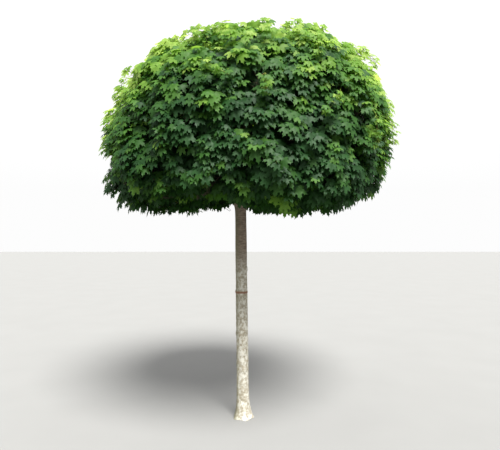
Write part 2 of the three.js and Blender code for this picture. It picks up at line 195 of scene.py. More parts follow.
# %% [markdown]
# ## The floor
# A plain pale floor catches the soft shadow of the crown. It is one large plane, because a curved backdrop
# would show in the views from other sides. It is darker than the sky, or it would light the crown from below.

# %% Floor
FLOOR_SIZE = 90
FLOOR_COLOUR = (0.235, 0.235, 0.231, 1)
FLOOR_DUST = (0.218, 0.218, 0.214, 1)
FLOOR_GAP = 0.001  # under the flat cut of the trunk, so that the two don't share a plane
DUST_GRAIN = 1.5

bpy.ops.mesh.primitive_plane_add(size=FLOOR_SIZE, location=(0, 0, -FLOOR_GAP))
floor = bpy.context.object
floor.name = "floor"
pale = Finish("pale_floor")
dust = pale.noise(pale.place(), DUST_GRAIN)
pale_colour = pale.mix(dust, FLOOR_COLOUR, FLOOR_DUST)
pale.done(pale.surface({"Base Color": pale_colour, "Roughness": 0.9}))
floor.data.materials.append(pale.material)
print("floor", FLOOR_SIZE, "m")

# %% [markdown]
# ## Steps that come back
# The corners of a mesh are read and written as one array. A finished piece gets its material and is put in
# the place of the plain nodes that it stands for.

# %% Corners, faces and places
SMOOTH_BELOW = math.radians(50)  # edges that bend less than this are shaded smooth


def corners_of(piece):
    corners = np.empty(len(piece.data.vertices) * 3)
    piece.data.vertices.foreach_get("co", corners)
    return corners.reshape(-1, 3)


def set_corners(piece, corners):
    piece.data.vertices.foreach_set("co", corners.ravel())
    piece.data.update()


def turn_faces_outwards():
    """For the mesh that is being edited; it also ends the editing."""
    bpy.ops.mesh.select_all(action="SELECT")
    bpy.ops.mesh.normals_make_consistent(inside=False)
    bpy.ops.object.mode_set(mode="OBJECT")


def put_in_place(piece, material, nodes):
    """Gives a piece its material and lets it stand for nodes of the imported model."""
    piece.data.materials.append(material)
    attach(piece, "root")
    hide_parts(*nodes)


print("edges are smooth below", round(math.degrees(SMOOTH_BELOW)), "degrees")

# %% [markdown]
# ## The trunk's shape
# The trunk is a slender pole that leans a little to the left, flares out at the ground and swells at the
# graft union, where the crown's wood was grafted onto the stem. The solids work out its radius from height
# and angle by one rule. That rule is written again here, so that the fine mesh fills the plain solid.

# %% The rule of the trunk
TRUNK_HEIGHT = 2.045
TRUNK_LEAN = 0.75  # degrees
TRUNK_RADIUS_FOOT = 0.054
TRUNK_RADIUS_NECK = 0.0505
NECK_HEIGHT = 1.8
FLARE_EXTRA = 0.034
FLARE_FADE = 0.075
FLARE_LOBES = 5
FLARE_LOBE_DEPTH = 0.3
UNION_HEIGHT = 1.965
UNION_RADIUS = 0.082
UNION_SPREAD = 0.066
UNION_SHOULDER = 1.99
UNION_ROUNDING = 0.86


def trunk_centre(height):
    height = np.asarray(height, float)
    return np.stack([-math.tan(math.radians(TRUNK_LEAN)) * height, 0 * height, height], axis=-1)


def trunk_radius(height, angle):
    pole = TRUNK_RADIUS_FOOT + (TRUNK_RADIUS_NECK - TRUNK_RADIUS_FOOT) * np.minimum(height / NECK_HEIGHT, 1)
    lobes = 1 + FLARE_LOBE_DEPTH * np.cos(FLARE_LOBES * angle)
    flare = FLARE_EXTRA * lobes * np.exp(-height / FLARE_FADE)
    union = (UNION_RADIUS - TRUNK_RADIUS_NECK) * np.exp(-(((height - UNION_HEIGHT) / UNION_SPREAD) ** 2))
    over = np.maximum(height - UNION_SHOULDER, 0) / (TRUNK_HEIGHT - UNION_SHOULDER)
    return (pole + flare + union) * np.sqrt(1 - UNION_ROUNDING * over**2)


print("radius at the union:", round(float(trunk_radius(UNION_HEIGHT, 0.0)), 4))

# %% [markdown]
# ## The trunk's mesh
# It starts as a disc that is extruded upwards ring by ring. The corners are then set out by the rule, and the
# bark's relief is added in the same step. The relief could come from a displacement texture, but scars, rings
# and wrinkles lie at known heights on a trunk, so here each is a small function of height and angle.

# %% A pole, ring by ring
TRUNK_SIDES = 72
RING_STEP = 0.0125
CAP_INSET = 0.012  # width of the last ring of faces at the top

ring_heights = np.linspace(0, TRUNK_HEIGHT, int(TRUNK_HEIGHT / RING_STEP) + 1)
bpy.ops.mesh.primitive_circle_add(vertices=TRUNK_SIDES, radius=TRUNK_RADIUS_FOOT, fill_type="NGON")
trunk = bpy.context.object
trunk.name = "trunk_bark"
bpy.ops.object.mode_set(mode="EDIT")
bpy.ops.mesh.select_all(action="SELECT")
for rise in np.diff(ring_heights):
    bpy.ops.mesh.extrude_region_move(TRANSFORM_OT_translate={"value": (0, 0, float(rise))})
bpy.ops.mesh.inset(thickness=CAP_INSET)
bpy.ops.mesh.poke()
turn_faces_outwards()
print("rings:", len(ring_heights), "faces:", len(trunk.data.polygons))

# %% [markdown]
# ## Bark relief
# The photograph shows smooth bark with fine wrinkles above, rough bark below, a reddish ring where a tie once
# cut in, two thin rings lower down, and the scar of a lopped shoot on the right. The unseen sides get a few
# more scars, because the tree is looked at from all round.

# %% Relief by height and angle
TIE_RING = 1.115  # height of the reddish ring
TIE_RING_WIDTH = 0.011
TIE_RING_RISE = 0.0022
THIN_RINGS = (0.915, 0.932, 1.062)
THIN_RING_WIDTH = 0.0045
THIN_RING_DEPTH = 0.0013
ROUGH_BELOW = 1.46
ROUGH_FADE = 0.5  # height over which the rough bark turns smooth
SCARS = (  # height, degrees round from +X, size
    (1.322, -14, 0.017),
    (0.742, 158, 0.020),
    (1.585, 96, 0.015),
    (1.120, 206, 0.018),
    (0.430, -74, 0.022),
    (1.700, -112, 0.012),
)
SCAR_LIP = 0.42  # how far a scar stands out, as a share of its size
SCAR_HOLLOW = 0.24  # how deep its middle lies
SCAR_HOLLOW_WIDTH = 0.5
SCAR_TALL = 0.8  # less makes the scars taller than they are wide
PLATE_DEPTH = 0.0012
PLATE_GRAIN = (4.5, 24)  # more makes the plates finer around the trunk, and along it
PLATE_SMOOTH_SHARE = 0.25  # how much of their depth is left on smooth bark
WANDER_DEPTH = 0.0022
WANDER_GRAIN = (1.3, 2.6)
RELIEF_FULL_FROM = 0.02  # height; below it the relief fades, so that the cut stays even


def bark_relief(height, angle):
    """How far the bark stands out of the even pole, in metres."""
    round_it = Vector((math.cos(angle), math.sin(angle), 0))
    rough = min(max((ROUGH_BELOW + ROUGH_FADE / 2 - height) / ROUGH_FADE, 0), 1)
    slow_place = round_it * WANDER_GRAIN[0] + Vector((0, 0, height * WANDER_GRAIN[1]))
    plate_place = round_it * PLATE_GRAIN[0] + Vector((7, 0, height * PLATE_GRAIN[1]))
    plate_share = PLATE_SMOOTH_SHARE + (1 - PLATE_SMOOTH_SHARE) * rough
    slow = noise.fractal(slow_place, 0.8, 2.0, 3)
    plates = noise.fractal(plate_place, 0.7, 2.1, 4)
    out = WANDER_DEPTH * slow + PLATE_DEPTH * plates * plate_share
    out += TIE_RING_RISE * math.exp(-(((height - TIE_RING) / TIE_RING_WIDTH) ** 2))
    for ring in THIN_RINGS:
        out -= THIN_RING_DEPTH * math.exp(-(((height - ring) / THIN_RING_WIDTH) ** 2))
    for scar_height, scar_angle, size in SCARS:
        turn = (angle - math.radians(scar_angle) + math.pi) % (2 * math.pi) - math.pi
        away = math.hypot(turn * TRUNK_RADIUS_NECK, SCAR_TALL * (height - scar_height)) / size
        hollow = SCAR_HOLLOW * math.exp(-((away / SCAR_HOLLOW_WIDTH) ** 2))
        out += size * (SCAR_LIP * math.exp(-(away**4)) - hollow)
    return out


corners = corners_of(trunk)
share_out = np.minimum(np.hypot(corners[:, 0], corners[:, 1]) / TRUNK_RADIUS_FOOT, 1)
angles = np.arctan2(corners[:, 1], corners[:, 0])
heights = corners[:, 2]
radius = trunk_radius(heights, angles) * share_out
relief = np.array([bark_relief(h, a) for h, a in zip(heights, angles)])
relief = relief * np.minimum(heights / RELIEF_FULL_FROM, 1) * share_out
corners = trunk_centre(heights)
corners[:, 0] += (radius + relief) * np.cos(angles)
corners[:, 1] += (radius + relief) * np.sin(angles)
set_corners(trunk, corners)
bpy.ops.object.shade_smooth_by_angle(angle=SMOOTH_BELOW)
print("relief from", round(relief.min() * 1000, 1), "to", round(relief.max() * 1000, 1), "mm")

# %% [markdown]
# ## Bark finish
# Young maple bark is grey-brown and finely wrinkled. Lower down it turns paler and rougher, with whitish
# scaly patches, and the left side is darker and greenish, partly a thin film of algae and partly painted
# shade.
# Height on the trunk decides which of the two it is, through a soft step whose edge is broken up by noise.

# %% Trunk bark
UPPER_BARK = ((0.150, 0.115, 0.086, 1), (0.290, 0.240, 0.190, 1))  # between wrinkles, and on them
LOWER_BARK = ((0.230, 0.205, 0.150, 1), (0.400, 0.370, 0.300, 1))
RED_FLECK = (0.28, 0.13, 0.08, 1)
WHITE_SCALE = (0.60, 0.59, 0.53, 1)
# darker, greenish colour of the left side: partly algae, partly painted shade
ALGAE_AND_SHADE = (0.155, 0.150, 0.088, 1)
TIE_RING_RED = (0.205, 0.095, 0.055, 1)
LOWER_BARK_EDGE = (1.72, 1.42)  # from upper to lower bark; the cloud moves it down by up to CLOUD_MOVES
CLOUD_MOVES = 0.35
SHADED_SIDE_EDGE = (0.0, -0.055)  # to the left of the middle line
TIE_RING_FOOT = (TIE_RING - 0.010, TIE_RING - 0.002)
TIE_RING_TOP = (TIE_RING + 0.018, TIE_RING + 0.009)

bark = Finish("trunk_bark")
bark_place = bark.place()
bark_aside = bark.node("SeparateXYZ", sockets={0: bark_place}, output="X")
bark_height = bark.node("SeparateXYZ", sockets={0: bark_place}, output="Z")
bark_cloud = bark.noise(bark_place, 6, 3)
wrinkle = bark.streaks((22, 22, 70), 4, 0.7)
fleck = bark.streaks((60, 60, 45), 3, 0.6)
scale_patch = bark.streaks((44, 44, 30), 5, 0.68)
upper_colour = bark.mix(bark.step(wrinkle, 0.35, 0.68), *UPPER_BARK)
upper_colour = bark.mix(bark.step(fleck, 0.58, 0.72) * 0.5, upper_colour, RED_FLECK)
lower_colour = bark.mix(bark.step(wrinkle, 0.3, 0.7), *LOWER_BARK)
white_patch = bark.step(scale_patch + 0.25 * bark_cloud, 0.56, 0.72)
lower_colour = bark.mix(white_patch * 0.8, lower_colour, WHITE_SCALE)
low_down = bark.step(bark_height + CLOUD_MOVES * bark_cloud, *LOWER_BARK_EDGE)
bark_colour = bark.mix(low_down, upper_colour, lower_colour)
# painted shade and algae: the left side of the trunk is darkened and greened
algae_and_shade_side = bark.step(bark_aside + 0.03 * bark_cloud, *SHADED_SIDE_EDGE)
bark_colour = bark.mix(algae_and_shade_side * 0.6, bark_colour, ALGAE_AND_SHADE)
tie_ring = bark.step(bark_height + 0.008 * fleck, *TIE_RING_FOOT)
tie_ring = tie_ring * bark.step(bark_height + 0.010 * bark_cloud, *TIE_RING_TOP)
bark_colour = bark.mix(tie_ring * 0.85, bark_colour, TIE_RING_RED)
bark_bump = bark.relief(0.6 * wrinkle + 0.5 * scale_patch + 0.3 * fleck, 0.004, 0.7)
bark_skin = {"Base Color": bark_colour, "Roughness": 0.78 + 0.15 * wrinkle, "Normal": bark_bump}
bark.done(bark.surface(bark_skin))
put_in_place(trunk, bark.material, ["trunk"])
print("trunk dressed")

# %% [markdown]
# ## The rule of the crown
# The crown is a dome whose outline reaches a certain distance from a centre in every direction: a squarish
# ellipse, a little fuller to the right above, whose underside is hollow and hangs lowest towards the viewer,
# with thirteen shallow lumps, one for each bough. The solids were cut from this rule. Everything that grows
# below asks the same rule how far it may go, for thousands of directions in one call.

# %% Directions
GOLDEN_ANGLE = 180 * (3 - math.sqrt(5))
UP = np.array([0.0, 0.0, 1.0])
HARDLY_ANY = 1e-9  # keeps a division by a length of nothing in bounds


def direction(azimuth, elevation):
    azimuth, elevation = np.broadcast_arrays(np.radians(azimuth), np.radians(elevation))
    level = np.cos(elevation)
    return np.stack([level * np.cos(azimuth), level * np.sin(azimuth), np.sin(elevation)], axis=-1)


def unit(vectors):
    return vectors / np.maximum(np.linalg.norm(vectors, axis=-1, keepdims=True), HARDLY_ANY)


def even_directions(total):
    """Directions spread evenly over the ball, along a spiral that turns by the golden angle."""
    i = np.arange(total)
    return direction(i * GOLDEN_ANGLE, np.degrees(np.arcsin(1 - (2 * i + 1) / total)))


print("golden angle", round(GOLDEN_ANGLE, 3))

# %% The masses and the outline
CROWN_CENTRE = np.array([0.051, 0.0, 2.386])
CROWN_RADIUS = 1.308
CROWN_RISE = 0.937
CROWN_DROP = 0.441
RIM_HANG = 0.3  # how much lower the rim hangs than the middle of the underside
CROWN_SAG = 0.2  # how much lower it hangs towards the viewer, and higher at the back
SAG_AZIMUTH = 270  # the viewer's side
TOP_SQUARENESS = 2.52
UNDERSIDE_SQUARENESS = (2.4, 6.3)  # least and most, which is at SQUARE_AZIMUTH
SQUARE_AZIMUTH = 222
SIDE_LEAN = 0.074  # how much fuller the crown is at the upper right
SIDE_LEAN_FULL = 0.7  # height of a direction from which it is in full
LUMP = 0.022
LUMP_SHARPNESS = 9
MASS_RINGS = (  # name, count, elevation, first azimuth
    ("low", 7, -4, 12),
    ("high", 5, 42, 38),
    ("top", 1, 88, 150),
)
WANDER_AZIMUTH = 6  # degrees by which the masses stray from an even ring
WANDER_ELEVATION = 3
OUTLINE = (0.0, 0.0, 0.0)  # depths behind the outline, at the side, at the top and underneath
WOOD_DEPTH = (0.205, 0.170, 0.160)  # where the stems end and the branches bend outwards


def wander(index, kind):
    """A number from -1 to 1 that looks random, one series for each kind."""
    return math.sin(GOLDEN_ANGLE * (index + 1) + kind)


masses = []
for ring, number, elevation, first_azimuth in MASS_RINGS:
    for i in range(number):
        index = len(masses)
        azimuth = first_azimuth + 360 / number * i + WANDER_AZIMUTH * wander(index, 1)
        label = f"{ring}_{i + 1}" if number > 1 else ring
        axis = direction(azimuth, elevation + WANDER_ELEVATION * wander(index, 2))
        masses.append({"ring": ring, "label": label, "azimuth": azimuth, "axis": axis,
                       "lump": 1 + LUMP * wander(index, 3)})
mass_axes = np.array([mass["axis"] for mass in masses])
mass_lumps = np.array([mass["lump"] for mass in masses])


def crown_reach(towards, depth=OUTLINE):
    """How far the crown reaches from its centre in some directions, or a surface that deep behind it."""
    x, y, z = np.moveaxis(towards, -1, 0)
    flat = np.hypot(x, y)
    level = flat / (CROWN_RADIUS - depth[0])
    sag = 1 + CROWN_SAG * (towards @ direction(SAG_AZIMUTH, 0))
    drop = CROWN_DROP * sag * (1 + RIM_HANG * flat**2)
    height = np.where(z > 0, CROWN_RISE - depth[1], drop - depth[2])
    square_side = towards @ direction(SQUARE_AZIMUTH, 0) / np.maximum(flat, HARDLY_ANY)
    least, most = UNDERSIDE_SQUARENESS
    power = np.where(z > 0, TOP_SQUARENESS, least + (most - least) * (1 + square_side) / 2)
    even = (level**power + (np.abs(z) / height) ** power) ** (-1 / power)
    weight = np.exp(LUMP_SHARPNESS * (towards @ mass_axes.T - 1))
    lean = SIDE_LEAN * np.clip(z / SIDE_LEAN_FULL, 0, 1) * x
    return even * (weight @ mass_lumps) / weight.sum(axis=-1) * (1 + lean)


def crown_point(towards, share=1.0, depth=OUTLINE):
    """The point at a share of the crown's reach in each direction."""
    reach = crown_reach(towards, depth) * share
    return CROWN_CENTRE + towards * reach[..., None]


def crown_share(points):
    """How far out points are: 0 at the crown's centre and 1 on its outline."""
    arms = points - CROWN_CENTRE
    return np.linalg.norm(arms, axis=-1) / crown_reach(unit(arms))


print("masses:", len(masses), "top:", np.round(crown_point(UP[None])[0], 3))

# %% [markdown]
# The slope of the outline tells how steeply leaves hang. It is 0 on top, 90 at the sides and more underneath.
# It is found by asking for two points of the outline, one a little higher and one a little lower.

# %% Slope of the outline
SLOPE_STEP = 2.0  # degrees up and down
STRAIGHT_UP = 1e-6  # a direction that leads aside by less than this has no level part


def level_out(towards):
    """The level direction that leads away from the crown's middle line."""
    flat = towards * np.array([1.0, 1.0, 0.0])
    return unit(np.where(np.linalg.norm(flat, axis=-1, keepdims=True) < STRAIGHT_UP, [1.0, 0, 0], flat))


def crown_slope(towards):
    """Degrees that the outline falls away from level."""
    elevation = np.degrees(np.arcsin(np.clip(towards[..., 2], -1, 1)))
    azimuth = np.degrees(np.arctan2(towards[..., 1], towards[..., 0]))
    higher = crown_point(direction(azimuth, elevation + SLOPE_STEP))
    lower = crown_point(direction(azimuth, elevation - SLOPE_STEP))
    fall = lower - higher
    outwards = np.sum(fall * level_out(towards), axis=-1)
    return np.degrees(np.arctan2(-fall[..., 2], outwards))


print("slope at the side:", round(float(crown_slope(direction(0, 0)[None])[0]), 1))

# %% [markdown]
# ## Boughs
# Thirteen boughs leave the union: seven low ones that arch out to the sides, five steep ones and one that
# goes straight up. Each is one Bezier curve with a round bevel that thins from root to tip, which is the
# natural tool for a limb. The curve becomes a mesh, and its root is thickened into a collar, as where real
# wood joins.

# %% Bough curves
BOUGHS = {  # seat: distance from the trunk's middle line, and height; rise: degrees above level at the root
    "low": {"seat": (0.048, 1.946), "rise": 60, "launch": 0.300, "arrive": 0.260, "radii": (0.022, 0.013)},
    "high": {"seat": (0.036, 2.000), "rise": 74, "launch": 0.300, "arrive": 0.220, "radii": (0.019, 0.012)},
    "top": {"seat": (0.0, 2.010), "rise": 90, "launch": 0.300, "arrive": 0.260, "radii": (0.017, 0.011)},
}
BOUGH_END = 0.62  # share of the way from the crown's centre to its outline
BOUGH_ROUNDNESS = 3
BOUGH_STEPS = 28


def bough_corners(mass):
    """The four corners of a bough's Bezier curve."""
    size = BOUGHS[mass["ring"]]
    seat = trunk_centre(size["seat"][1]) + direction(mass["azimuth"], 0) * size["seat"][0]
    tip = crown_point(mass["axis"][None], BOUGH_END)[0]
    leaving = seat + direction(mass["azimuth"], size["rise"]) * size["launch"]
    return seat, leaving, tip - mass["axis"] * size["arrive"], tip


def bezier(corners, along):
    """Points on Bezier curves with four corners, each an array of points or one point."""
    t = np.asarray(along)[..., None]
    a, b, c, d = corners
    return (1 - t) ** 3 * a + 3 * (1 - t) ** 2 * t * b + 3 * (1 - t) * t**2 * c + t**3 * d


limb_shapes = []
for mass in masses:
    seat, leaving, arriving, tip = bough_corners(mass)
    bpy.ops.curve.primitive_bezier_curve_add()
    limb = bpy.context.object
    limb.data.bevel_depth = 1.0
    limb.data.bevel_resolution = BOUGH_ROUNDNESS
    limb.data.resolution_u = BOUGH_STEPS
    limb.data.use_fill_caps = True
    start, end = limb.data.splines[0].bezier_points
    start.handle_left_type = start.handle_right_type = "FREE"
    end.handle_left_type = end.handle_right_type = "FREE"
    start.co, start.handle_right, start.handle_left = seat, leaving, 2 * seat - leaving
    end.co, end.handle_left, end.handle_right = tip, arriving, 2 * tip - arriving
    start.radius, end.radius = BOUGHS[mass["ring"]]["radii"]
    bpy.ops.object.convert(target="MESH")
    limb_shapes.append(bpy.context.object)
print("boughs:", len(limb_shapes))

# %% One mesh of boughs, with collars and relief
COLLAR = 0.30  # extra thickness at the root
COLLAR_LENGTH = 0.05
BOUGH_RELIEF = 0.0012
BOUGH_GRAIN = 22  # more makes the relief finer
LIMB_SAMPLES = 200  # points on a bough's middle line
WELD = 0.00001

for mass, limb in zip(masses, limb_shapes):
    bpy.ops.object.select_all(action="DESELECT")
    limb.select_set(True)
    bpy.context.view_layer.objects.active = limb
    bpy.ops.object.transform_apply(location=True, rotation=True, scale=True)
    middle_line = bezier(bough_corners(mass), np.linspace(0, 1, LIMB_SAMPLES))
    places = corners_of(limb)
    nearest = np.argmin(np.linalg.norm(places[:, None] - middle_line[None], axis=-1), axis=1)
    middle = middle_line[nearest]
    grain = np.array([noise.fractal(Vector(place) * BOUGH_GRAIN, 0.8, 2.0, 3) for place in places])
    length = np.linalg.norm(np.diff(middle_line, axis=0), axis=1).sum()
    distance = nearest / (LIMB_SAMPLES - 1) * length
    swell = 1 + COLLAR * np.exp(-distance / COLLAR_LENGTH)
    arm = places - middle
    places = middle + arm * swell[:, None] + unit(arm) * (BOUGH_RELIEF * grain)[:, None]
    set_corners(limb, places)
bpy.ops.object.select_all(action="DESELECT")
for limb in limb_shapes:
    limb.select_set(True)
bpy.context.view_layer.objects.active = limb_shapes[0]
bpy.ops.object.join()
boughs = bpy.context.object
boughs.name = "bough_bark"
bpy.ops.object.mode_set(mode="EDIT")
bpy.ops.mesh.select_all(action="SELECT")
bpy.ops.mesh.remove_doubles(threshold=WELD)
turn_faces_outwards()
bpy.ops.object.shade_smooth_by_angle(angle=SMOOTH_BELOW)
print("bough faces:", len(boughs.data.polygons))

# %% [markdown]
# The boughs' bark is younger than the trunk's: browner, smoother and speckled with small pale pores. Its
# colours are also darker than the bark's own, as painted shade, because the boughs stand inside the crown.

# %% Bough bark
# painted shade: both bark colours are kept darker, for the shade inside the crown
SHADED_YOUNG_BARK = ((0.052, 0.040, 0.027, 1), (0.115, 0.090, 0.062, 1))
PALE_PORE = (0.32, 0.28, 0.22, 1)

young = Finish("bough_bark")
young_grain = young.streaks((38, 38, 38), 4, 0.6)
pore = young.noise(young.place(), 240, 1)
young_colour = young.mix(young.step(young_grain, 0.3, 0.7), *SHADED_YOUNG_BARK)
young_colour = young.mix(young.step(pore, 0.68, 0.74) * 0.6, young_colour, PALE_PORE)
young_bump = young.relief(young_grain + 0.4 * pore, 0.002, 0.6)
young_skin = {"Base Color": young_colour, "Roughness": 0.7 + 0.2 * young_grain, "Normal": young_bump}
young.done(young.surface(young_skin))
put_in_place(boughs, young.material, ["bough_" + mass["label"] for mass in masses])
print("boughs dressed")

# %% [markdown]
# ## Many small things as one mesh
# Twigs and leaf stalks come in thousands. Objects or instances would be slow and would be lost in an export,
# so all tubes of a kind are worked out together as arrays of points and become one mesh in a single step.

# %% Meshes from arrays
STEEP_TUBE = 0.8  # a tube that rises more than this can't use the upward direction for its sides


def mesh_from_arrays(name, points, triangles):
    """A smooth mesh of its own from corners and triangles."""
    mesh = bpy.data.meshes.new(name)
    mesh.vertices.add(len(points))
    mesh.vertices.foreach_set("co", points.ravel())
    mesh.loops.add(triangles.size)
    mesh.loops.foreach_set("vertex_index", triangles.ravel().astype(np.int32))
    mesh.polygons.add(len(triangles))
    mesh.polygons.foreach_set("loop_start", np.arange(0, triangles.size, 3, dtype=np.int32))
    mesh.update(calc_edges=True)
    mesh.validate()
    mesh.polygons.foreach_set("use_smooth", np.ones(len(mesh.polygons), bool))
    made = bpy.data.objects.new(name, mesh)
    bpy.context.scene.collection.objects.link(made)
    return made


def tubes(paths, radii, sides):
    """Closed tubes along paths (number, steps, 3) with radii (number, steps): points and triangles."""
    number, steps = radii.shape
    forwards = unit(np.gradient(paths, axis=1))
    chord = unit(paths[:, -1] - paths[:, 0])
    aside = np.where(np.abs(chord[:, 2:]) > STEEP_TUBE, [1.0, 0, 0], UP)[:, None]
    right = unit(np.cross(forwards, aside))
    above = np.cross(right, forwards)
    turn = 2 * np.pi * np.arange(sides) / sides
    spokes = np.cos(turn)[:, None] * right[:, :, None] + np.sin(turn)[:, None] * above[:, :, None]
    points = paths[:, :, None] + radii[:, :, None, None] * spokes
    step, side = np.meshgrid(np.arange(steps - 1), np.arange(sides), indexing="ij")
    a = (step * sides + side).ravel()
    b = (step * sides + (side + 1) % sides).ravel()
    walls = np.concatenate([np.stack([a, a + sides, b], 1), np.stack([b, a + sides, b + sides], 1)])
    fan = np.arange(1, sides - 1)
    last = (steps - 1) * sides
    caps = [np.stack([0 * fan, fan, fan + 1], 1), np.stack([last + 0 * fan, last + fan + 1, last + fan], 1)]
    one = np.concatenate([walls, *caps])
    triangles = one[None] + (np.arange(number) * steps * sides)[:, None, None]
    return points.reshape(-1, 3), triangles.reshape(-1, 3)


def joined(parts):
    """Several sets of points and triangles as one."""
    starts = np.cumsum([0] + [len(points) for points, _ in parts[:-1]])
    points = np.concatenate([points for points, _ in parts])
    return points, np.concatenate([triangles + start for (_, triangles), start in zip(parts, starts)])


sample = tubes(np.zeros((1, 4, 3)), np.ones((1, 4)), 6)
print("a six-sided tube of four rings has", len(sample[1]), "triangles")

# %% [markdown]
# ## Stems and branches
# The source lets one stem take over from each bough's tip, and sends a branch from it to each of a set of
# even directions, bending outwards some way behind the outline. The same rule grows them here, as curves
# instead of straight pieces, and carries each branch further out, to where the sprays of leaves begin.

# %% Stems and branches
CLEARANCE = 0.0003  # between a bough's tip and its stem
STEM_TAPER = 0.3
STEM_STEPS = 4
STEM_SIDES = 8
STEM_FORKS = (0.35, 0.97)  # shares of the stem between which branches leave it
BRANCH_TARGETS = 240
BRANCH_LOWEST = -58
BRANCH_RADII = (0.0075, 0.0028)
BRANCH_VARIETY = (0.8, 1.2)
BRANCH_ELBOW = 0.45  # share of the way to the bend at which a branch is steered
BRANCH_END_DEPTH = (0.13, 0.12, 0.10)  # behind the outline, at the side, at the top and underneath
BRANCH_STEPS = 7
BRANCH_SIDES = 5
SEED = 401

growth = np.random.default_rng(SEED)
stem_starts = np.array([bough_corners(mass)[3] + mass["axis"] * CLEARANCE for mass in masses])
stem_ends = crown_point(mass_axes, 1.0, WOOD_DEPTH)
stem_radii = np.array([BOUGHS[mass["ring"]]["radii"][1] for mass in masses])


def along(starts, ends, share):
    return starts + (ends - starts) * np.asarray(share)[..., None]


def nearest_mass(towards):
    return np.argmax(towards @ mass_axes.T, axis=-1)


branch_towards = even_directions(BRANCH_TARGETS)
branch_towards = branch_towards[branch_towards[:, 2] > math.sin(math.radians(BRANCH_LOWEST))]
branch_mass = nearest_mass(branch_towards)
branch_starts = along(stem_starts[branch_mass], stem_ends[branch_mass],
                      growth.uniform(*STEM_FORKS, len(branch_mass)))
branch_bends = crown_point(branch_towards, 1.0, WOOD_DEPTH)
branch_ends = crown_point(branch_towards, 1.0, BRANCH_END_DEPTH)
branch_elbows = along(branch_starts, branch_bends, BRANCH_ELBOW)
branch_corners = (branch_starts, branch_elbows, branch_bends, branch_ends)
branch_corners = [corner[:, None] for corner in branch_corners]
branch_paths = bezier(branch_corners, np.linspace(0, 1, BRANCH_STEPS)[None])
branch_thin = np.linspace(*BRANCH_RADII, BRANCH_STEPS)[None]
branch_thin = branch_thin * growth.uniform(*BRANCH_VARIETY, len(branch_mass))[:, None]
stem_shares = np.linspace(0, 1, STEM_STEPS)[None]
stem_paths = along(stem_starts[:, None], stem_ends[:, None], stem_shares)
stem_thin = stem_radii[:, None] * (1 - STEM_TAPER * stem_shares)
wood = [tubes(stem_paths, stem_thin, STEM_SIDES), tubes(branch_paths, branch_thin, BRANCH_SIDES)]
print("branches:", len(branch_mass))

# %% [markdown]
# ## One leaf
# A maple leaf has five lobes with long, pointed teeth and rounded bays between them, and a main vein runs
# from the stalk into each lobe. It starts as a disc of triangles. The edges that don't lead to a bay are
# dissolved, so that one face is left for each lobe, and poking each face gives it a corner on its vein. The
# rim is then moved to the leaf's outline. Forty-six faces are enough, because the leaf is copied thousands of
# times.

# %% The leaf's outline
MIDDLE_LOBE = ((0.84, 0.055), (0.75, 0.205), (0.62, 0.165))  # forwards and sideways, from the tip inwards
MIDDLE_BAY = (0.50, 0.235)
UPPER_LOBE_ANGLE = 47
UPPER_TIP = (0.97, 0.0)
UPPER_LOBE = ((0.64, 0.150), (0.75, 0.200), (0.80, 0.050), UPPER_TIP, (0.80, -0.060), (0.71, -0.205),
              (0.59, -0.165))  # along the lobe's vein and across it, from bay to bay
UPPER_BAY = (0.125, 0.455)
LOWER_LOBE_ANGLE = 101
LOWER_TIP = (0.67, 0.0)
LOWER_LOBE = ((0.50, 0.110), LOWER_TIP, (0.48, -0.100), (0.43, -0.215))
STALK_SIDE = (-0.225, 0.135)
STALK_BAY = (-0.035, 0.0)
VEIN_CORNERS = {0: 0.56, UPPER_LOBE_ANGLE: 0.53, LOWER_LOBE_ANGLE: 0.35}  # how far out on each vein


def on_lobe(angle, forwards, sideways):
    """A point given along and across a vein; positive sideways is towards the leaf's tip."""
    c, s = math.cos(math.radians(angle)), math.sin(math.radians(angle))
    return (forwards * c + sideways * s, forwards * s - sideways * c)


leaf_side = [*MIDDLE_LOBE, MIDDLE_BAY]
leaf_side += [on_lobe(UPPER_LOBE_ANGLE, *point) for point in UPPER_LOBE]
leaf_side += [UPPER_BAY]
leaf_side += [on_lobe(LOWER_LOBE_ANGLE, *point) for point in LOWER_LOBE]
leaf_side += [STALK_SIDE]
leaf_rim = [(1.0, 0.0), *leaf_side, STALK_BAY, *[(x, -y) for x, y in reversed(leaf_side)]]
print("corners on the leaf's rim:", len(leaf_rim))

# %% The leaf's mesh
RIM = len(leaf_rim)
bays = [leaf_rim.index(MIDDLE_BAY), leaf_rim.index(UPPER_BAY), leaf_rim.index(STALK_BAY)]
bays += [RIM - bays[1], RIM - bays[0]]


def leaf_disc(corners):
    """A disc of triangles, its middle corner and the corners of its rim."""
    bpy.ops.mesh.primitive_circle_add(vertices=corners, radius=1, fill_type="TRIFAN")
    disc = bpy.context.object
    middle = min(disc.data.vertices, key=lambda v: v.co.length).index
    return disc, middle, [v.index for v in disc.data.vertices if v.index != middle]


leaf, middle_corner, rim_corners = leaf_disc(RIM)
bay_corners = {rim_corners[i] for i in bays}
bpy.ops.object.mode_set(mode="EDIT")
bpy.ops.mesh.select_all(action="DESELECT")
bpy.ops.object.mode_set(mode="OBJECT")
for edge in leaf.data.edges:
    ends = set(edge.vertices)
    edge.select = middle_corner in ends and not (ends & bay_corners)
bpy.ops.object.mode_set(mode="EDIT")
bpy.ops.mesh.select_mode(type="EDGE")
bpy.ops.mesh.dissolve_edges(use_verts=False)
bpy.ops.mesh.select_all(action="SELECT")
bpy.ops.mesh.poke()
bpy.ops.object.mode_set(mode="OBJECT")
print("leaf faces:", len(leaf.data.polygons), "corners:", len(leaf.data.vertices))

# %% [markdown]
# The corners are placed now. The blade is folded a little along each vein: the bays stand higher than the
# veins, and the teeth bend down at their ends. How much a leaf hangs is left open, because each copy gets a
# droop of its own.

# %% The leaf's corners
BAY_RISE = 0.055
TOOTH_RISE = 0.020

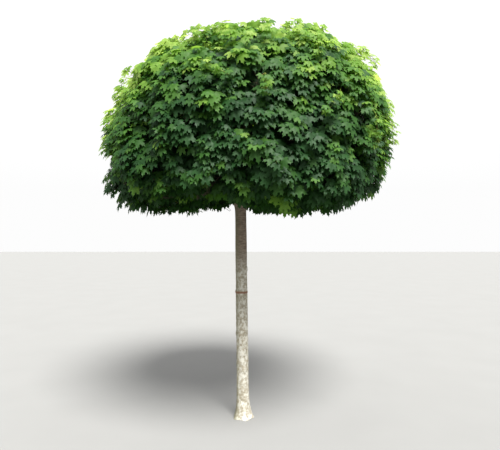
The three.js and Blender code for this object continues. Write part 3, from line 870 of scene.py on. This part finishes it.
vein_points = [on_lobe(side * angle, out, 0.0) for angle, out in VEIN_CORNERS.items() for side in (1, -1)]
leaf_points = np.zeros((len(leaf.data.vertices), 3))
for number, (place, corner) in enumerate(zip(leaf_rim, rim_corners)):
    leaf_points[corner] = (*place, BAY_RISE if number in bays else TOOTH_RISE)
poked = [v.index for v in leaf.data.vertices if v.index not in rim_corners and v.index != middle_corner]
for corner in poked:
    ends = {v for face in leaf.data.polygons if corner in face.vertices for v in face.vertices}
    middle = leaf_points[[v for v in ends if v in rim_corners], :2].mean(axis=0)
    best = min(vein_points, key=lambda point: math.dist(point, middle))
    leaf_points[corner, :2] = best
side_tips = [on_lobe(UPPER_LOBE_ANGLE, *UPPER_TIP), on_lobe(LOWER_LOBE_ANGLE, *LOWER_TIP)]
side_tips = [leaf_rim.index(tip) for tip in side_tips]
tips = [0, *side_tips, RIM - side_tips[1], RIM - side_tips[0]]
for tip_place in tips:
    leaf_points[rim_corners[tip_place], 2] = 0.0
leaf_tips = leaf_points[[rim_corners[tip_place] for tip_place in tips]]
leaf_triangles = np.array([list(face.vertices) for face in leaf.data.polygons])
bpy.data.objects.remove(leaf)
print("leaf spans", np.round(np.ptp(leaf_points, axis=0), 3), "with", len(leaf_tips), "tips")

# %% [markdown]
# The leaves inside the crown are seen only through gaps. They get the same five lobes without the teeth, as a
# fan of twelve triangles from a disc whose rim is moved in the same way.

# %% The inner leaf
INNER_MIDDLE = (0.12, 0.0, BAY_RISE)

kept_corners = [0, bays[0], side_tips[0], bays[1], side_tips[1], bays[2] - 1]
plain_rim = [leaf_rim[i] for i in kept_corners] + [STALK_BAY]
plain_rim += [leaf_rim[RIM - i] for i in kept_corners[:0:-1]]
plain_leaf, plain_middle, plain_corners = leaf_disc(len(plain_rim))
plain_points = np.zeros((len(plain_leaf.data.vertices), 3))
plain_points[plain_corners, :2] = plain_rim
plain_points[plain_middle] = INNER_MIDDLE
plain_triangles = np.array([list(face.vertices) for face in plain_leaf.data.polygons])
bpy.data.objects.remove(plain_leaf)
print("inner leaf:", len(plain_triangles), "triangles")

# %% [markdown]
# ## Where sprays grow
# A spray is the end of a twig with its last pairs of leaves. Sprays cover the dome evenly, so many more
# directions are tried than needed, and the chance that one is kept goes with the area that it stands for. A
# second, sparser set grows deeper inside, which closes the view through the crown.

# %% Spray places
SPRAY_LOWEST = -70
SPRAY_SPACING = {"outer": 0.0935, "inner": 0.126}
SPRAY_WANDER = 0.30  # of the spacing
LARGEST_AREA = 2.6  # square metres of outline for each unit of solid angle
STEEPEST_SLANT = 75  # degrees between a direction and the way that the outline faces


def spray_directions(spacing, random):
    """Directions whose density on the crown's outline is even, one for each square of spacing."""
    tried = even_directions(int(4 * math.pi * LARGEST_AREA / spacing**2))
    tried = unit(tried + random.normal(0, SPRAY_WANDER * spacing / CROWN_RADIUS, tried.shape))
    facing_up = 90 - crown_slope(tried)
    elevation = np.degrees(np.arcsin(tried[:, 2]))
    slant = np.radians(np.clip(facing_up - elevation, -STEEPEST_SLANT, STEEPEST_SLANT))
    area = crown_reach(tried) ** 2 / np.cos(slant)
    kept = random.random(len(tried)) < area / LARGEST_AREA
    return tried[kept & (tried[:, 2] > math.sin(math.radians(SPRAY_LOWEST)))]


outer = spray_directions(SPRAY_SPACING["outer"], growth)
inner = spray_directions(SPRAY_SPACING["inner"], growth)
print("sprays:", len(outer), "outer,", len(inner), "inner")

# %% [markdown]
# A few long shoots trail down over the dome, yellow-green, with three small sprays each. Such a shoot leaves
# the branch nearest to its upper end, comes to the surface and follows it down and to one side.

# %% Trailing shoots
TRAILS = 34
TRAIL_TOPS = (8, 58)  # elevations at which they come to the surface
TRAIL_FALL = (8, 15)  # degrees
TRAIL_ASIDE = 15
TRAIL_SHARES = (0.89, 0.975)  # of the way to the outline, at the upper end and at the surface
TRAIL_SURFACED = 0.45  # share of its length after which a shoot is at the surface
TRAIL_STEPS = 9
TRAIL_SPRAY_STEPS = (4, 6, 8)  # steps at which its sprays end
TRAIL_RADII = (0.0016, 0.0009)

trail_time = np.linspace(0, 1, TRAIL_STEPS)[None]
trail_azimuth = (np.arange(TRAILS) * GOLDEN_ANGLE)[:, None]
trail_azimuth = trail_azimuth + growth.uniform(-TRAIL_ASIDE, TRAIL_ASIDE, TRAILS)[:, None] * trail_time
trail_elevation = growth.uniform(*TRAIL_TOPS, TRAILS)[:, None]
trail_elevation = trail_elevation - growth.uniform(*TRAIL_FALL, TRAILS)[:, None] * trail_time
surfaced = np.sin(np.pi / 2 * np.minimum(trail_time / TRAIL_SURFACED, 1))
trail_share = TRAIL_SHARES[0] + (TRAIL_SHARES[1] - TRAIL_SHARES[0]) * surfaced
trail_towards = direction(trail_azimuth, trail_elevation)
trail_paths = crown_point(trail_towards, trail_share)
trail_branch = np.argmax(trail_towards[:, 0] @ branch_towards.T, axis=1)
trail_paths = np.concatenate([branch_ends[trail_branch][:, None], trail_paths[:, 1:]], axis=1)
trail_aims = unit(np.gradient(trail_paths, axis=1))
trail_thin = np.broadcast_to(np.linspace(*TRAIL_RADII, TRAIL_STEPS), trail_paths.shape[:2])
trail_sprays = (trail_towards, trail_paths, trail_aims)
trail_sprays = [array[:, list(TRAIL_SPRAY_STEPS)].reshape(-1, 3) for array in trail_sprays]

spray_towards = np.concatenate([outer, inner, trail_sprays[0]])
SPRAYS = len(spray_towards)
is_trail = np.arange(SPRAYS) >= len(outer) + len(inner)
is_inner = (np.arange(SPRAYS) >= len(outer)) & ~is_trail
print("trailing shoots:", TRAILS)

# %% [markdown]
# ## How a spray is built
# Maple leaves stand in pairs, and each pair is turned by a quarter against the next. A spray has three pairs
# on the last part of its twig. The long stalks hold the blades out to the light, so all blades of a region
# face nearly the same way: up and outwards, and at the sides a little towards the viewer too. The further a
# leaf stands to one side of its twig, the more it turns to that side, and on top of the crown the leaves
# stray more than at its sides. Sprays stand in clumps, a few tufts and young shoots stand out of the dome,
# and the inner sprays, which only close gaps, have larger leaves.

# %% Spray sizes
PAIRS = 3
PAIR_STEP = 0.029  # between pairs, along the twig
STALK_LENGTHS = (0.032, 0.052, 0.072)  # of the youngest pair to the oldest
LEAF_LENGTH = 0.0695  # from the stalk to the tip of the middle lobe
LEAF_SIZES = (0.80, 1.0, 1.06)
LEAF_VARIETY = 0.13
OUTER_DEPTH = 0.055  # how far the hollows between clumps of sprays lie behind the outline, as a share
OUTER_WANDER = 0.060
CLUMPS = 3.4  # more makes the clumps smaller
CLUMP_RANGE = (-0.35, 0.5)  # of the noise, from clump to hollow
INNER_REACH = (0.80, 0.89)
SPRAY_VARIETY = (0.9, 1.1)
SPRAY_START = 0.06  # how far short of its reach a spray is before it is settled
TUFTS = ((180, 28, 0.065), (-26, 36, 0.035), (198, 4, 0.03))  # azimuth, elevation and how far they stand out
TUFT_SHARPNESS = 60
SHOOT_LOWEST = 24
SHOOT_CHANCE = 0.11
SHOOT_EXTRA = 0.020
SHOOT_LEAF = 0.7
TRAIL_LEAF = 0.55
INNER_LEAF = 1.2
TWIG_MIX = (0.45, 0.55)  # how much a twig points away from the crown's centre, and how much level outwards
TWIG_LOWEST = -0.15
TWIG_RISE = 0.22
TWIG_WANDER = 0.17
STALK_MIX = (0.75, 0.62, 0.12)  # how much a stalk points sideways, along its twig and up

HANG_TOP = 40  # degrees that a leaf's base hangs below level on top of the crown
HANG_SIDE = 34
HANG_FRONT = 46  # on the shaded side, which faces the viewer
FRONT_RANGE = (0.30, 0.85)  # parts of a direction towards the viewer between which the front begins
HANG_UNDERSIDE = 56
STEEP_RANGE = (20, 80)  # slopes of the crown between which its top turns into its side
UNDERSIDE_RANGE = (0.05, 0.36)  # downward parts of a direction between which the underside begins
LIGHT_PULL = 0.65  # how strongly leaves at the sides turn to the viewer, where the light comes from
PULL_RANGE = (-0.65, 0.0)  # from the back, where there is no pull, to the side
YAW_BY_PLACE = 38  # degrees that a leaf that stands aside of its twig turns to that side
YAW_REACH = 0.07  # how far aside that is, in metres
YAW_WANDER = 11
TILT_WANDER = 10
ROLL_WANDER = 11
LOOSE_TOP = 1.4  # how much more leaves stray on top of the crown


def smooth_step(value, start, end):
    """0 below start, 1 above end, and smooth between."""
    t = np.clip((value - start) / (end - start), 0, 1)
    return t * t * (3 - 2 * t)


def leaf_pitch(towards):
    """Degrees that a leaf's base hangs below level."""
    side = HANG_SIDE + (HANG_FRONT - HANG_SIDE) * smooth_step(-towards[..., 1], *FRONT_RANGE)
    hang = HANG_TOP + (side - HANG_TOP) * smooth_step(crown_slope(towards), *STEEP_RANGE)
    return hang + (HANG_UNDERSIDE - hang) * smooth_step(-towards[..., 2], *UNDERSIDE_RANGE)


print("a spray has", 2 * PAIRS, "leaves")

# %% Twig ends and leaf roots
out_level = level_out(spray_towards)
across = np.cross(UP, out_level)
twig_aim = TWIG_MIX[0] * spray_towards + TWIG_MIX[1] * out_level
twig_aim[:, 2] = np.maximum(twig_aim[:, 2], TWIG_LOWEST) + TWIG_RISE
twig_aim = unit(twig_aim + growth.normal(0, TWIG_WANDER, twig_aim.shape))
twig_aim[is_trail] = trail_sprays[2]
is_shoot = (spray_towards[:, 2] > math.sin(math.radians(SHOOT_LOWEST))) & ~is_inner & ~is_trail
is_shoot &= growth.random(SPRAYS) < SHOOT_CHANCE
clump = np.array([noise.fractal(Vector(towards) * CLUMPS, 0.9, 2.0, 2) for towards in spray_towards])
spray_reach = 1 - OUTER_DEPTH * smooth_step(clump, *CLUMP_RANGE) - OUTER_WANDER * growth.random(SPRAYS)
for azimuth, elevation, extra in TUFTS:
    closeness = spray_towards @ direction(azimuth, elevation)
    spray_reach = spray_reach + extra * np.exp(TUFT_SHARPNESS * (closeness - 1))
spray_reach = np.where(is_inner, growth.uniform(*INNER_REACH, SPRAYS), spray_reach)
spray_reach = np.where(is_shoot, 1 + SHOOT_EXTRA * growth.random(SPRAYS), spray_reach)
spray_scale = np.where(is_shoot, SHOOT_LEAF, 1.0) * growth.uniform(*SPRAY_VARIETY, SPRAYS)
spray_scale = np.where(is_inner, INNER_LEAF, 1.0) * spray_scale
spray_scale = np.where(is_trail, TRAIL_LEAF, spray_scale)

side_way = unit(np.cross(twig_aim, UP))
top_way = np.cross(side_way, twig_aim)
first_turn = growth.uniform(0, math.pi, SPRAYS)
spray_ends = crown_point(spray_towards, spray_reach - SPRAY_START)
spray_ends[is_trail] = trail_sprays[1]
print("shoots:", int(is_shoot.sum()))


def leaves_of_sprays(ends):
    """Where all leaf stalks leave their twigs, and where they end: (sprays, leaves, 3) each."""
    nodes, roots = [], []
    for pair in range(PAIRS):
        node = ends - twig_aim * (PAIR_STEP * pair * spray_scale)[:, None]
        turn = first_turn + pair * math.pi / 2
        for side in (1, -1):
            sideways = side * (np.cos(turn)[:, None] * side_way + np.sin(turn)[:, None] * top_way)
            stalk = unit(STALK_MIX[0] * sideways + STALK_MIX[1] * twig_aim + STALK_MIX[2] * UP)
            nodes.append(node)
            roots.append(node + stalk * (STALK_LENGTHS[pair] * spray_scale)[:, None])
    return np.stack(nodes, axis=1), np.stack(roots, axis=1)


# %% [markdown]
# A leaf has three directions of its own: where its tip points, where its upper face looks, and the one across
# both. They come from the pitch, then from a turn about the face, then from a roll about the midrib.

# %% Leaf directions
LEAVES = 2 * PAIRS
leaf_yaw_wander = growth.normal(0, YAW_WANDER, (SPRAYS, LEAVES))
leaf_tilt = growth.normal(0, TILT_WANDER, (SPRAYS, LEAVES))
leaf_roll = growth.normal(0, ROLL_WANDER, (SPRAYS, LEAVES))
leaf_lengths = LEAF_LENGTH * np.repeat(LEAF_SIZES, 2)[None] * spray_scale[:, None]
leaf_lengths = leaf_lengths * (1 + growth.uniform(-LEAF_VARIETY, LEAF_VARIETY, (SPRAYS, LEAVES)))


def turned(vectors, about, degrees):
    """Vectors turned about unit vectors that are square to them."""
    angle = np.radians(degrees)[..., None]
    return vectors * np.cos(angle) + np.cross(about, vectors) * np.sin(angle)


def leaf_directions(roots):
    """The hanging, crosswise and facing directions of all leaves: (sprays, leaves, 3, 3)."""
    towards = unit(roots - CROWN_CENTRE)
    outwards = level_out(towards)
    pull = LIGHT_PULL * smooth_step(-outwards[..., 1:2], *PULL_RANGE)
    outwards = unit(outwards + pull * direction(SAG_AZIMUTH, 0))
    looseness = 1 + LOOSE_TOP * (1 - smooth_step(crown_slope(towards), *STEEP_RANGE))
    pitch = np.radians(leaf_pitch(towards) + leaf_tilt * looseness)[..., None]
    hanging = outwards * np.cos(pitch) - UP * np.sin(pitch)
    facing = outwards * np.sin(pitch) + UP * np.cos(pitch)
    aside = np.sum((roots - spray_ends[:, None]) * across[:, None], axis=-1)
    yaw = YAW_BY_PLACE * np.tanh(aside / YAW_REACH) + leaf_yaw_wander * looseness
    hanging = turned(hanging, facing, yaw)
    facing = turned(facing, hanging, leaf_roll)
    return np.stack([hanging, np.cross(facing, hanging), facing], axis=-2)


nodes, roots = leaves_of_sprays(spray_ends)
axes = leaf_directions(roots)
print("leaves:", roots.shape[0] * roots.shape[1])

# %% [markdown]
# ## Keeping within the crown
# Each spray is moved along its own direction until its furthest lobe just reaches its share of the outline,
# so the crown ends where the solids end. A few rounds are enough to settle. The sprays under the rim are then
# let down a little, more at the sides and at the back, because a real crown has a loose fringe there.

# %% Settle the sprays
SETTLE_ROUNDS = 4
DROOP_ALONG = (0.22, 0.50)  # how strongly a blade bends down towards its tip
DROOP_ACROSS = (0.08, 0.34)  # and towards its sides
droop_along = growth.uniform(*DROOP_ALONG, (SPRAYS, LEAVES))
droop_across = growth.uniform(*DROOP_ACROSS, (SPRAYS, LEAVES))


def placed(points, roots, axes):
    """A leaf's own points, set out in the crown for every leaf: (sprays, leaves, points, 3)."""
    fall = droop_along[..., None] * points[:, 0] ** 2 + droop_across[..., None] * points[:, 1] ** 2
    blade = np.broadcast_to(points, (*fall.shape, 3)).copy()
    blade[..., 2] -= fall
    blade *= leaf_lengths[..., None, None]
    return roots[..., None, :] + blade @ axes


FRINGE_RANGE = (0.10, 0.32)  # downward parts of a direction between which the fringe begins
FRINGE_DROP = -0.014  # metres; in front it is held up a little
FRINGE_DROP_BACK = 0.075  # this much more of it at the sides and at the back
FRINGE_BACK_RANGE = (-0.70, -0.05)  # from the front to the side
FRINGE_SWAY = 0.065  # less of it halfway to the left and more halfway to the right
FRINGE_WANDER = 0.024

for settle_round in range(SETTLE_ROUNDS):
    nodes, roots = leaves_of_sprays(spray_ends)
    axes = leaf_directions(roots)
    furthest = crown_share(placed(leaf_tips, roots, axes)).max(axis=(1, 2))
    shift = np.where(is_trail, 0, spray_reach - furthest) * crown_reach(spray_towards)
    spray_ends = spray_ends + spray_towards * shift[:, None]
fringe = smooth_step(-spray_towards[:, 2], *FRINGE_RANGE)
back_drop = FRINGE_DROP_BACK * smooth_step(out_level[:, 1], *FRINGE_BACK_RANGE)
sway = FRINGE_SWAY * np.sin(np.pi * out_level[:, 0])
fringe_drop = FRINGE_DROP + back_drop + sway + growth.normal(0, FRINGE_WANDER, SPRAYS)
spray_ends[:, 2] -= fringe * fringe_drop
nodes, roots = leaves_of_sprays(spray_ends)
axes = leaf_directions(roots)
print("furthest share now:", round(float(crown_share(placed(leaf_tips, roots, axes)).max()), 4))

# %% [markdown]
# ## Clear of the limbs
# As in the source, a leaf that would touch the trunk or a bough isn't grown. The limbs are felt for by balls
# that are strung along them.

# %% Leaves that fit
LIMB_GAP = 0.012
TRUNK_BALL_STEP = 0.025
BOUGH_BALLS = 40

ball_heights = np.arange(0, TRUNK_HEIGHT, TRUNK_BALL_STEP)
balls = [trunk_centre(ball_heights)]
ball_sizes = [trunk_radius(ball_heights, 0.0)]
for mass in masses:
    balls.append(bezier(bough_corners(mass), np.linspace(0, 1, BOUGH_BALLS)))
    ball_sizes.append(np.linspace(*BOUGHS[mass["ring"]]["radii"], BOUGH_BALLS))
balls = np.concatenate(balls)
ball_sizes = np.concatenate(ball_sizes)


def limb_distance(points):
    """From each point to the nearest limb's bark."""
    nearest = np.full(points.shape[:-1], np.inf)
    for ball, size in zip(balls, ball_sizes):
        nearest = np.minimum(nearest, np.linalg.norm(points - ball, axis=-1) - size)
    return nearest


felt = np.concatenate([leaf_tips, leaf_tips / 2, [[0.0, 0.0, 0.0]]])
leaf_fits = limb_distance(placed(felt, roots, axes)).min(axis=-1) > LIMB_GAP
print("leaves that touch no limb:", int(leaf_fits.sum()), "of", leaf_fits.size)

# %% [markdown]
# ## Twigs and leaf stalks
# Each spray hangs on the branch of its own mass that points nearest to it. Its twig leaves that branch
# along it and curves into the spray's own direction. Stalks are thin and end under the blade. Those of the
# oldest pair of an outer spray are the longest, and arch a little.

# %% Twigs and stalks
TWIG_RADII = (0.0026, 0.0014)
STALK_RADII = (0.0014, 0.0010)
TWIG_STEPS = 5
TWIG_HANDLE = 0.35  # more makes the twigs leave and arrive straighter
TWIG_JOINS = (0.55, 0.98)  # shares of a branch between which twigs leave it
TRAIL_SIDES = 5
THIN_SIDES = 3  # of twigs and stalks
STALK_ARCH = (0.010, 0.006)  # how far the middle of a stalk is moved along its twig, and up
OTHER_MASS = -2  # below any closeness between two directions

spray_mass = nearest_mass(spray_towards)
branch_closeness = spray_towards @ branch_towards.T
branch_closeness[spray_mass[:, None] != branch_mass[None]] = OTHER_MASS
spray_branch = np.argmax(branch_closeness, axis=1)
join_share = growth.uniform(*TWIG_JOINS, SPRAYS)
twig_starts = bezier([corner[spray_branch, 0] for corner in branch_corners], join_share)
branch_aim = unit(branch_ends - branch_bends)[spray_branch]
twig_neck = spray_ends - twig_aim * (PAIR_STEP * PAIRS * spray_scale)[:, None]
twig_span = np.linalg.norm(twig_neck - twig_starts, axis=1)[:, None]
twig_leaving = twig_starts + branch_aim * twig_span * TWIG_HANDLE
twig_arriving = twig_neck - twig_aim * twig_span * TWIG_HANDLE
twig_corners = [corner[:, None] for corner in (twig_starts, twig_leaving, twig_arriving, twig_neck)]
twig_paths = bezier(twig_corners, np.linspace(0, 1, TWIG_STEPS)[None])
twig_paths = np.concatenate([twig_paths, spray_ends[:, None]], axis=1)
twig_thin = np.broadcast_to(np.linspace(*TWIG_RADII, TWIG_STEPS + 1), twig_paths.shape[:2])
wood.append(tubes(twig_paths[~is_trail], twig_thin[~is_trail], THIN_SIDES))
twigs = mesh_from_arrays("twigs", *joined(wood))

stalk_aim = np.broadcast_to(twig_aim[:, None], nodes.shape)
stalk_middle = (nodes + roots) / 2 + stalk_aim * STALK_ARCH[0] + UP * STALK_ARCH[1]
stalk_paths = np.stack([nodes, stalk_middle, roots], axis=2)
stalk_thin = np.broadcast_to(np.linspace(*STALK_RADII, 3), stalk_paths.shape[:3])
is_arched = leaf_fits & ~is_inner[:, None] & (np.arange(LEAVES) >= LEAVES - 2)
is_straight = leaf_fits & ~is_arched
green = [tubes(stalk_paths[is_arched], stalk_thin[is_arched], THIN_SIDES)]
green.append(tubes(trail_paths, trail_thin, TRAIL_SIDES))
green.append(tubes(stalk_paths[is_straight][:, ::2], stalk_thin[is_straight][:, ::2], THIN_SIDES))
stalks = mesh_from_arrays("leaf_stalks", *joined(green))
print("twig triangles:", len(twigs.data.polygons), "stalk triangles:", len(stalks.data.polygons))

# %% [markdown]
# Twigs are dark brown where they are old and greener where they are young, and both are kept dark as painted
# shade, because the twigs stand inside the crown. The stalks of this maple are yellow-green, some of them
# flushed with red. Soft noise carries the change of colour.

# %% Twig and stalk finishes
# painted shade: the old and the young colour are both darker, for the shade inside the crown
SHADED_TWIG_COLOURS = ((0.040, 0.030, 0.018, 1), (0.060, 0.058, 0.024, 1))  # old and young
STALK_COLOURS = ((0.235, 0.300, 0.055, 1), (0.26, 0.19, 0.07, 1))  # green and flushed

twig_bark = Finish("twig_bark")
twig_noise = twig_bark.noise(twig_bark.place(), 9, 2)
twig_grain = twig_bark.noise(twig_bark.place(), 90, 2)
twig_colour = twig_bark.mix(twig_bark.step(twig_noise, 0.35, 0.65), *SHADED_TWIG_COLOURS)
twig_bump = twig_bark.relief(twig_grain, 0.001, 0.5)
twig_skin = {"Base Color": twig_colour, "Roughness": 0.6 + 0.25 * twig_grain, "Normal": twig_bump}
twig_bark.done(twig_bark.surface(twig_skin))
stalk_green = Finish("leaf_stalk")
stalk_noise = stalk_green.noise(stalk_green.place(), 14, 2)
stalk_colour = stalk_green.mix(stalk_green.step(stalk_noise, 0.45, 0.70), *STALK_COLOURS)
stalk_skin = {"Base Color": stalk_colour, "Roughness": 0.42 + 0.1 * stalk_noise}
stalk_green.done(stalk_green.surface(stalk_skin))
foliage_nodes = ["foliage_" + mass["label"] for mass in masses]
put_in_place(twigs, twig_bark.material, foliage_nodes)
put_in_place(stalks, stalk_green.material, foliage_nodes)
print("twigs and stalks dressed")

# %% [markdown]
# ## Leaf tints
# The crown isn't one green. Its top and its outermost shoots are bright and yellowish, partly as young growth
# and partly as painted light. Its front ranges from mid green to a deep green as painted shade, and its back
# and sides are lighter as painted sunlight. The newest shoots at the very top are tan. Each tint is a finish
# of its own. Light also shines through a leaf, so every finish mixes a satin skin with a translucent one,
# which makes the rim of the crown glow against the sky.

# %% Tints
TINTS = {  # darker and lighter colour of the skin, that of the light shining through, and its share
    "deep": ((0.013, 0.043, 0.013, 1), (0.022, 0.066, 0.019, 1), (0.06, 0.17, 0.015, 1), 0.20),
    "mid": ((0.023, 0.068, 0.015, 1), (0.036, 0.094, 0.022, 1), (0.12, 0.28, 0.02, 1), 0.26),
    "fresh": ((0.052, 0.128, 0.026, 1), (0.078, 0.166, 0.038, 1), (0.30, 0.52, 0.07, 1), 0.38),
    "bright": ((0.126, 0.232, 0.042, 1), (0.172, 0.286, 0.062, 1), (0.46, 0.70, 0.12, 1), 0.46),
    "young": ((0.228, 0.335, 0.078, 1), (0.285, 0.390, 0.108, 1), (0.60, 0.80, 0.19, 1), 0.46),
    "tan": ((0.235, 0.270, 0.075, 1), (0.300, 0.205, 0.095, 1), (0.46, 0.45, 0.10, 1), 0.30),
}
LEAF_SHEEN = 0.22
PATCH_GRAIN = 7
MOTTLE_GRAIN = 55


def leaf_finish(name, dark, light, through, through_share):
    """Patches span several leaves, and the mottle lies within one."""
    skin = Finish("leaf_" + name)
    where = skin.place()
    patches = skin.noise(where, PATCH_GRAIN)
    mottle = skin.noise(where, MOTTLE_GRAIN)
    colour = skin.mix(skin.step(0.7 * patches + 0.3 * mottle, 0.36, 0.64), dark, light)
    bump = skin.relief(mottle, 0.003, 0.35)
    satin = {"Base Color": colour, "Roughness": 0.45 + 0.14 * patches, "Normal": bump}
    gloss = skin.surface({**satin, "Specular IOR Level": LEAF_SHEEN})
    glow = skin.node("BsdfTranslucent", sockets={"Color": through})
    skin.done(skin.node("MixShader", sockets={0: through_share, 1: gloss, 2: glow}))
    return skin.material


leaf_finishes = {name: leaf_finish(name, *colours) for name, colours in TINTS.items()}
print("leaf finishes:", list(leaf_finishes))

# %% [markdown]
# Each leaf gets a number that says how light it is. It is high near the top, for young growth and as painted
# light, high at the back and the sides as painted sunlight, high on the sprays that stand out furthest, for
# their young shoots and as a painted glow of the rim, and high on the youngest pair of a spray. It is low on
# the front and on the inner sprays, as painted shade. The bounds of the tints then deal every leaf to one of
# them.
# A chance for each tint would mix old and young leaves.

# %% Deal the tints
LIGHTNESS_BOUNDS = (0.30, 0.55, 0.80, 1.12)  # between the tints, from deep to young
LIGHTNESS_SPREAD = 0.16  # between sprays
LEAF_LIGHTNESS_SPREAD = 0.15  # between the leaves of a spray
PAIR_LIGHTNESS = (0.12, 0.0, -0.10)  # from the youngest pair to the oldest
# painted shade: the front, towards the viewer, keeps only this base lightness
FRONT_LIGHTNESS = 0.16
# partly young growth, partly painted light from above: the top is dealt lighter tints
TOP_LIGHTNESS = 0.62
TOP_RANGE = (0.0, 0.65)  # upward parts of a direction between which the top begins
# painted sunlight: the back and the sides are dealt lighter tints, as if light falls on them there
PAINTED_SUN_LIGHTNESS = 0.62
PAINTED_SUN_RANGE = (-1.0, 0.0)  # from the front to the side
PAINTED_SUN_SIDES = 0.26  # how much further to the front the sunny tints reach at the left and right
PAINTED_SUN_HEIGHTS = (-0.35, 0.10)  # they end above the fringe
MOST_LIGHTNESS = 1.18  # of a place in the crown
# partly young shoots, partly a painted glow of the rim: the outermost sprays are dealt lighter tints
REACH_LIGHTNESS = 2.6  # for each unit that a spray reaches further than the middle one
REACH_MIDDLE = 0.95
REACH_RANGE = (0.9, 1.03)
# painted shade: the inner sprays are dealt darker tints, for the shade inside the crown
INNER_PAINTED_SHADE = -0.45
TRAIL_LIGHTNESS = 0.35
TAN_FROM = 0.93  # upward part of a direction above which a shoot may be tan
TAN_CHANCE = 0.3
TAN_LEAVES = 4  # the youngest ones of such a shoot

aside, back, height = spray_towards.T
# painted sunlight on the back and the sides, up to above the fringe; the front gets none of it
painted_sun = smooth_step(back + PAINTED_SUN_SIDES * np.abs(aside), *PAINTED_SUN_RANGE) * smooth_step(height, *PAINTED_SUN_HEIGHTS)
painted_light_and_growth = FRONT_LIGHTNESS + TOP_LIGHTNESS * smooth_step(height, *TOP_RANGE) + PAINTED_SUN_LIGHTNESS * painted_sun
reach_light = REACH_LIGHTNESS * (np.clip(spray_reach, *REACH_RANGE) - REACH_MIDDLE)
spray_light = np.minimum(painted_light_and_growth, MOST_LIGHTNESS) + reach_light
spray_light = spray_light + growth.normal(0, LIGHTNESS_SPREAD, SPRAYS)
spray_light = spray_light + INNER_PAINTED_SHADE * is_inner + TRAIL_LIGHTNESS * is_trail
leaf_light = spray_light[:, None] + np.repeat(PAIR_LIGHTNESS, 2)[None]
leaf_light = leaf_light + growth.normal(0, LEAF_LIGHTNESS_SPREAD, (SPRAYS, LEAVES))
leaf_tint = np.searchsorted(LIGHTNESS_BOUNDS, leaf_light)
is_tan = is_shoot & (height > TAN_FROM) & (growth.random(SPRAYS) < TAN_CHANCE)
leaf_tint[is_tan, :TAN_LEAVES] = list(TINTS).index("tan")
# painted shade: inner leaves get no tint lighter than mid
leaf_tint[is_inner] = np.minimum(leaf_tint[is_inner], list(TINTS).index("mid"))
print("leaves of each tint:", dict(zip(TINTS, np.bincount(leaf_tint.ravel()).tolist())))

# %% [markdown]
# ## The leaves themselves
# The leaf is set out at every place that fits, toothed outside and plain inside. All leaves of a tint become
# one mesh, or two where there are too many for one. Their pieces stay under 200,000 triangles in this way.

# %% Leaf meshes
MOST_LEAVES = 4200  # in one piece


def dress_leaves(name, blades, triangles, tint):
    """One mesh from the corners of many leaves, (leaves, corners, 3), with the finish of a tint."""
    every = triangles[None] + (np.arange(len(blades)) * blades.shape[1])[:, None, None]
    piece = mesh_from_arrays(name, blades.reshape(-1, 3), every.reshape(-1, 3))
    put_in_place(piece, leaf_finishes[tint], foliage_nodes)
    print(name, "leaves:", len(blades), "triangles:", len(piece.data.polygons))


leaf_sets = (("leaves", ~is_inner, leaf_points, leaf_triangles),
             ("inner_leaves", is_inner, plain_points, plain_triangles))
for layer, in_layer, points, triangles in leaf_sets:
    blades = placed(points, roots, axes)
    for number, tint in enumerate(TINTS):
        chosen = blades[leaf_fits & in_layer[:, None] & (leaf_tint == number)]
        for part, start in enumerate(range(0, len(chosen), MOST_LEAVES)):
            dress_leaves(f"{layer}_{tint}_{part + 1}", chosen[start:start + MOST_LEAVES], triangles, tint)
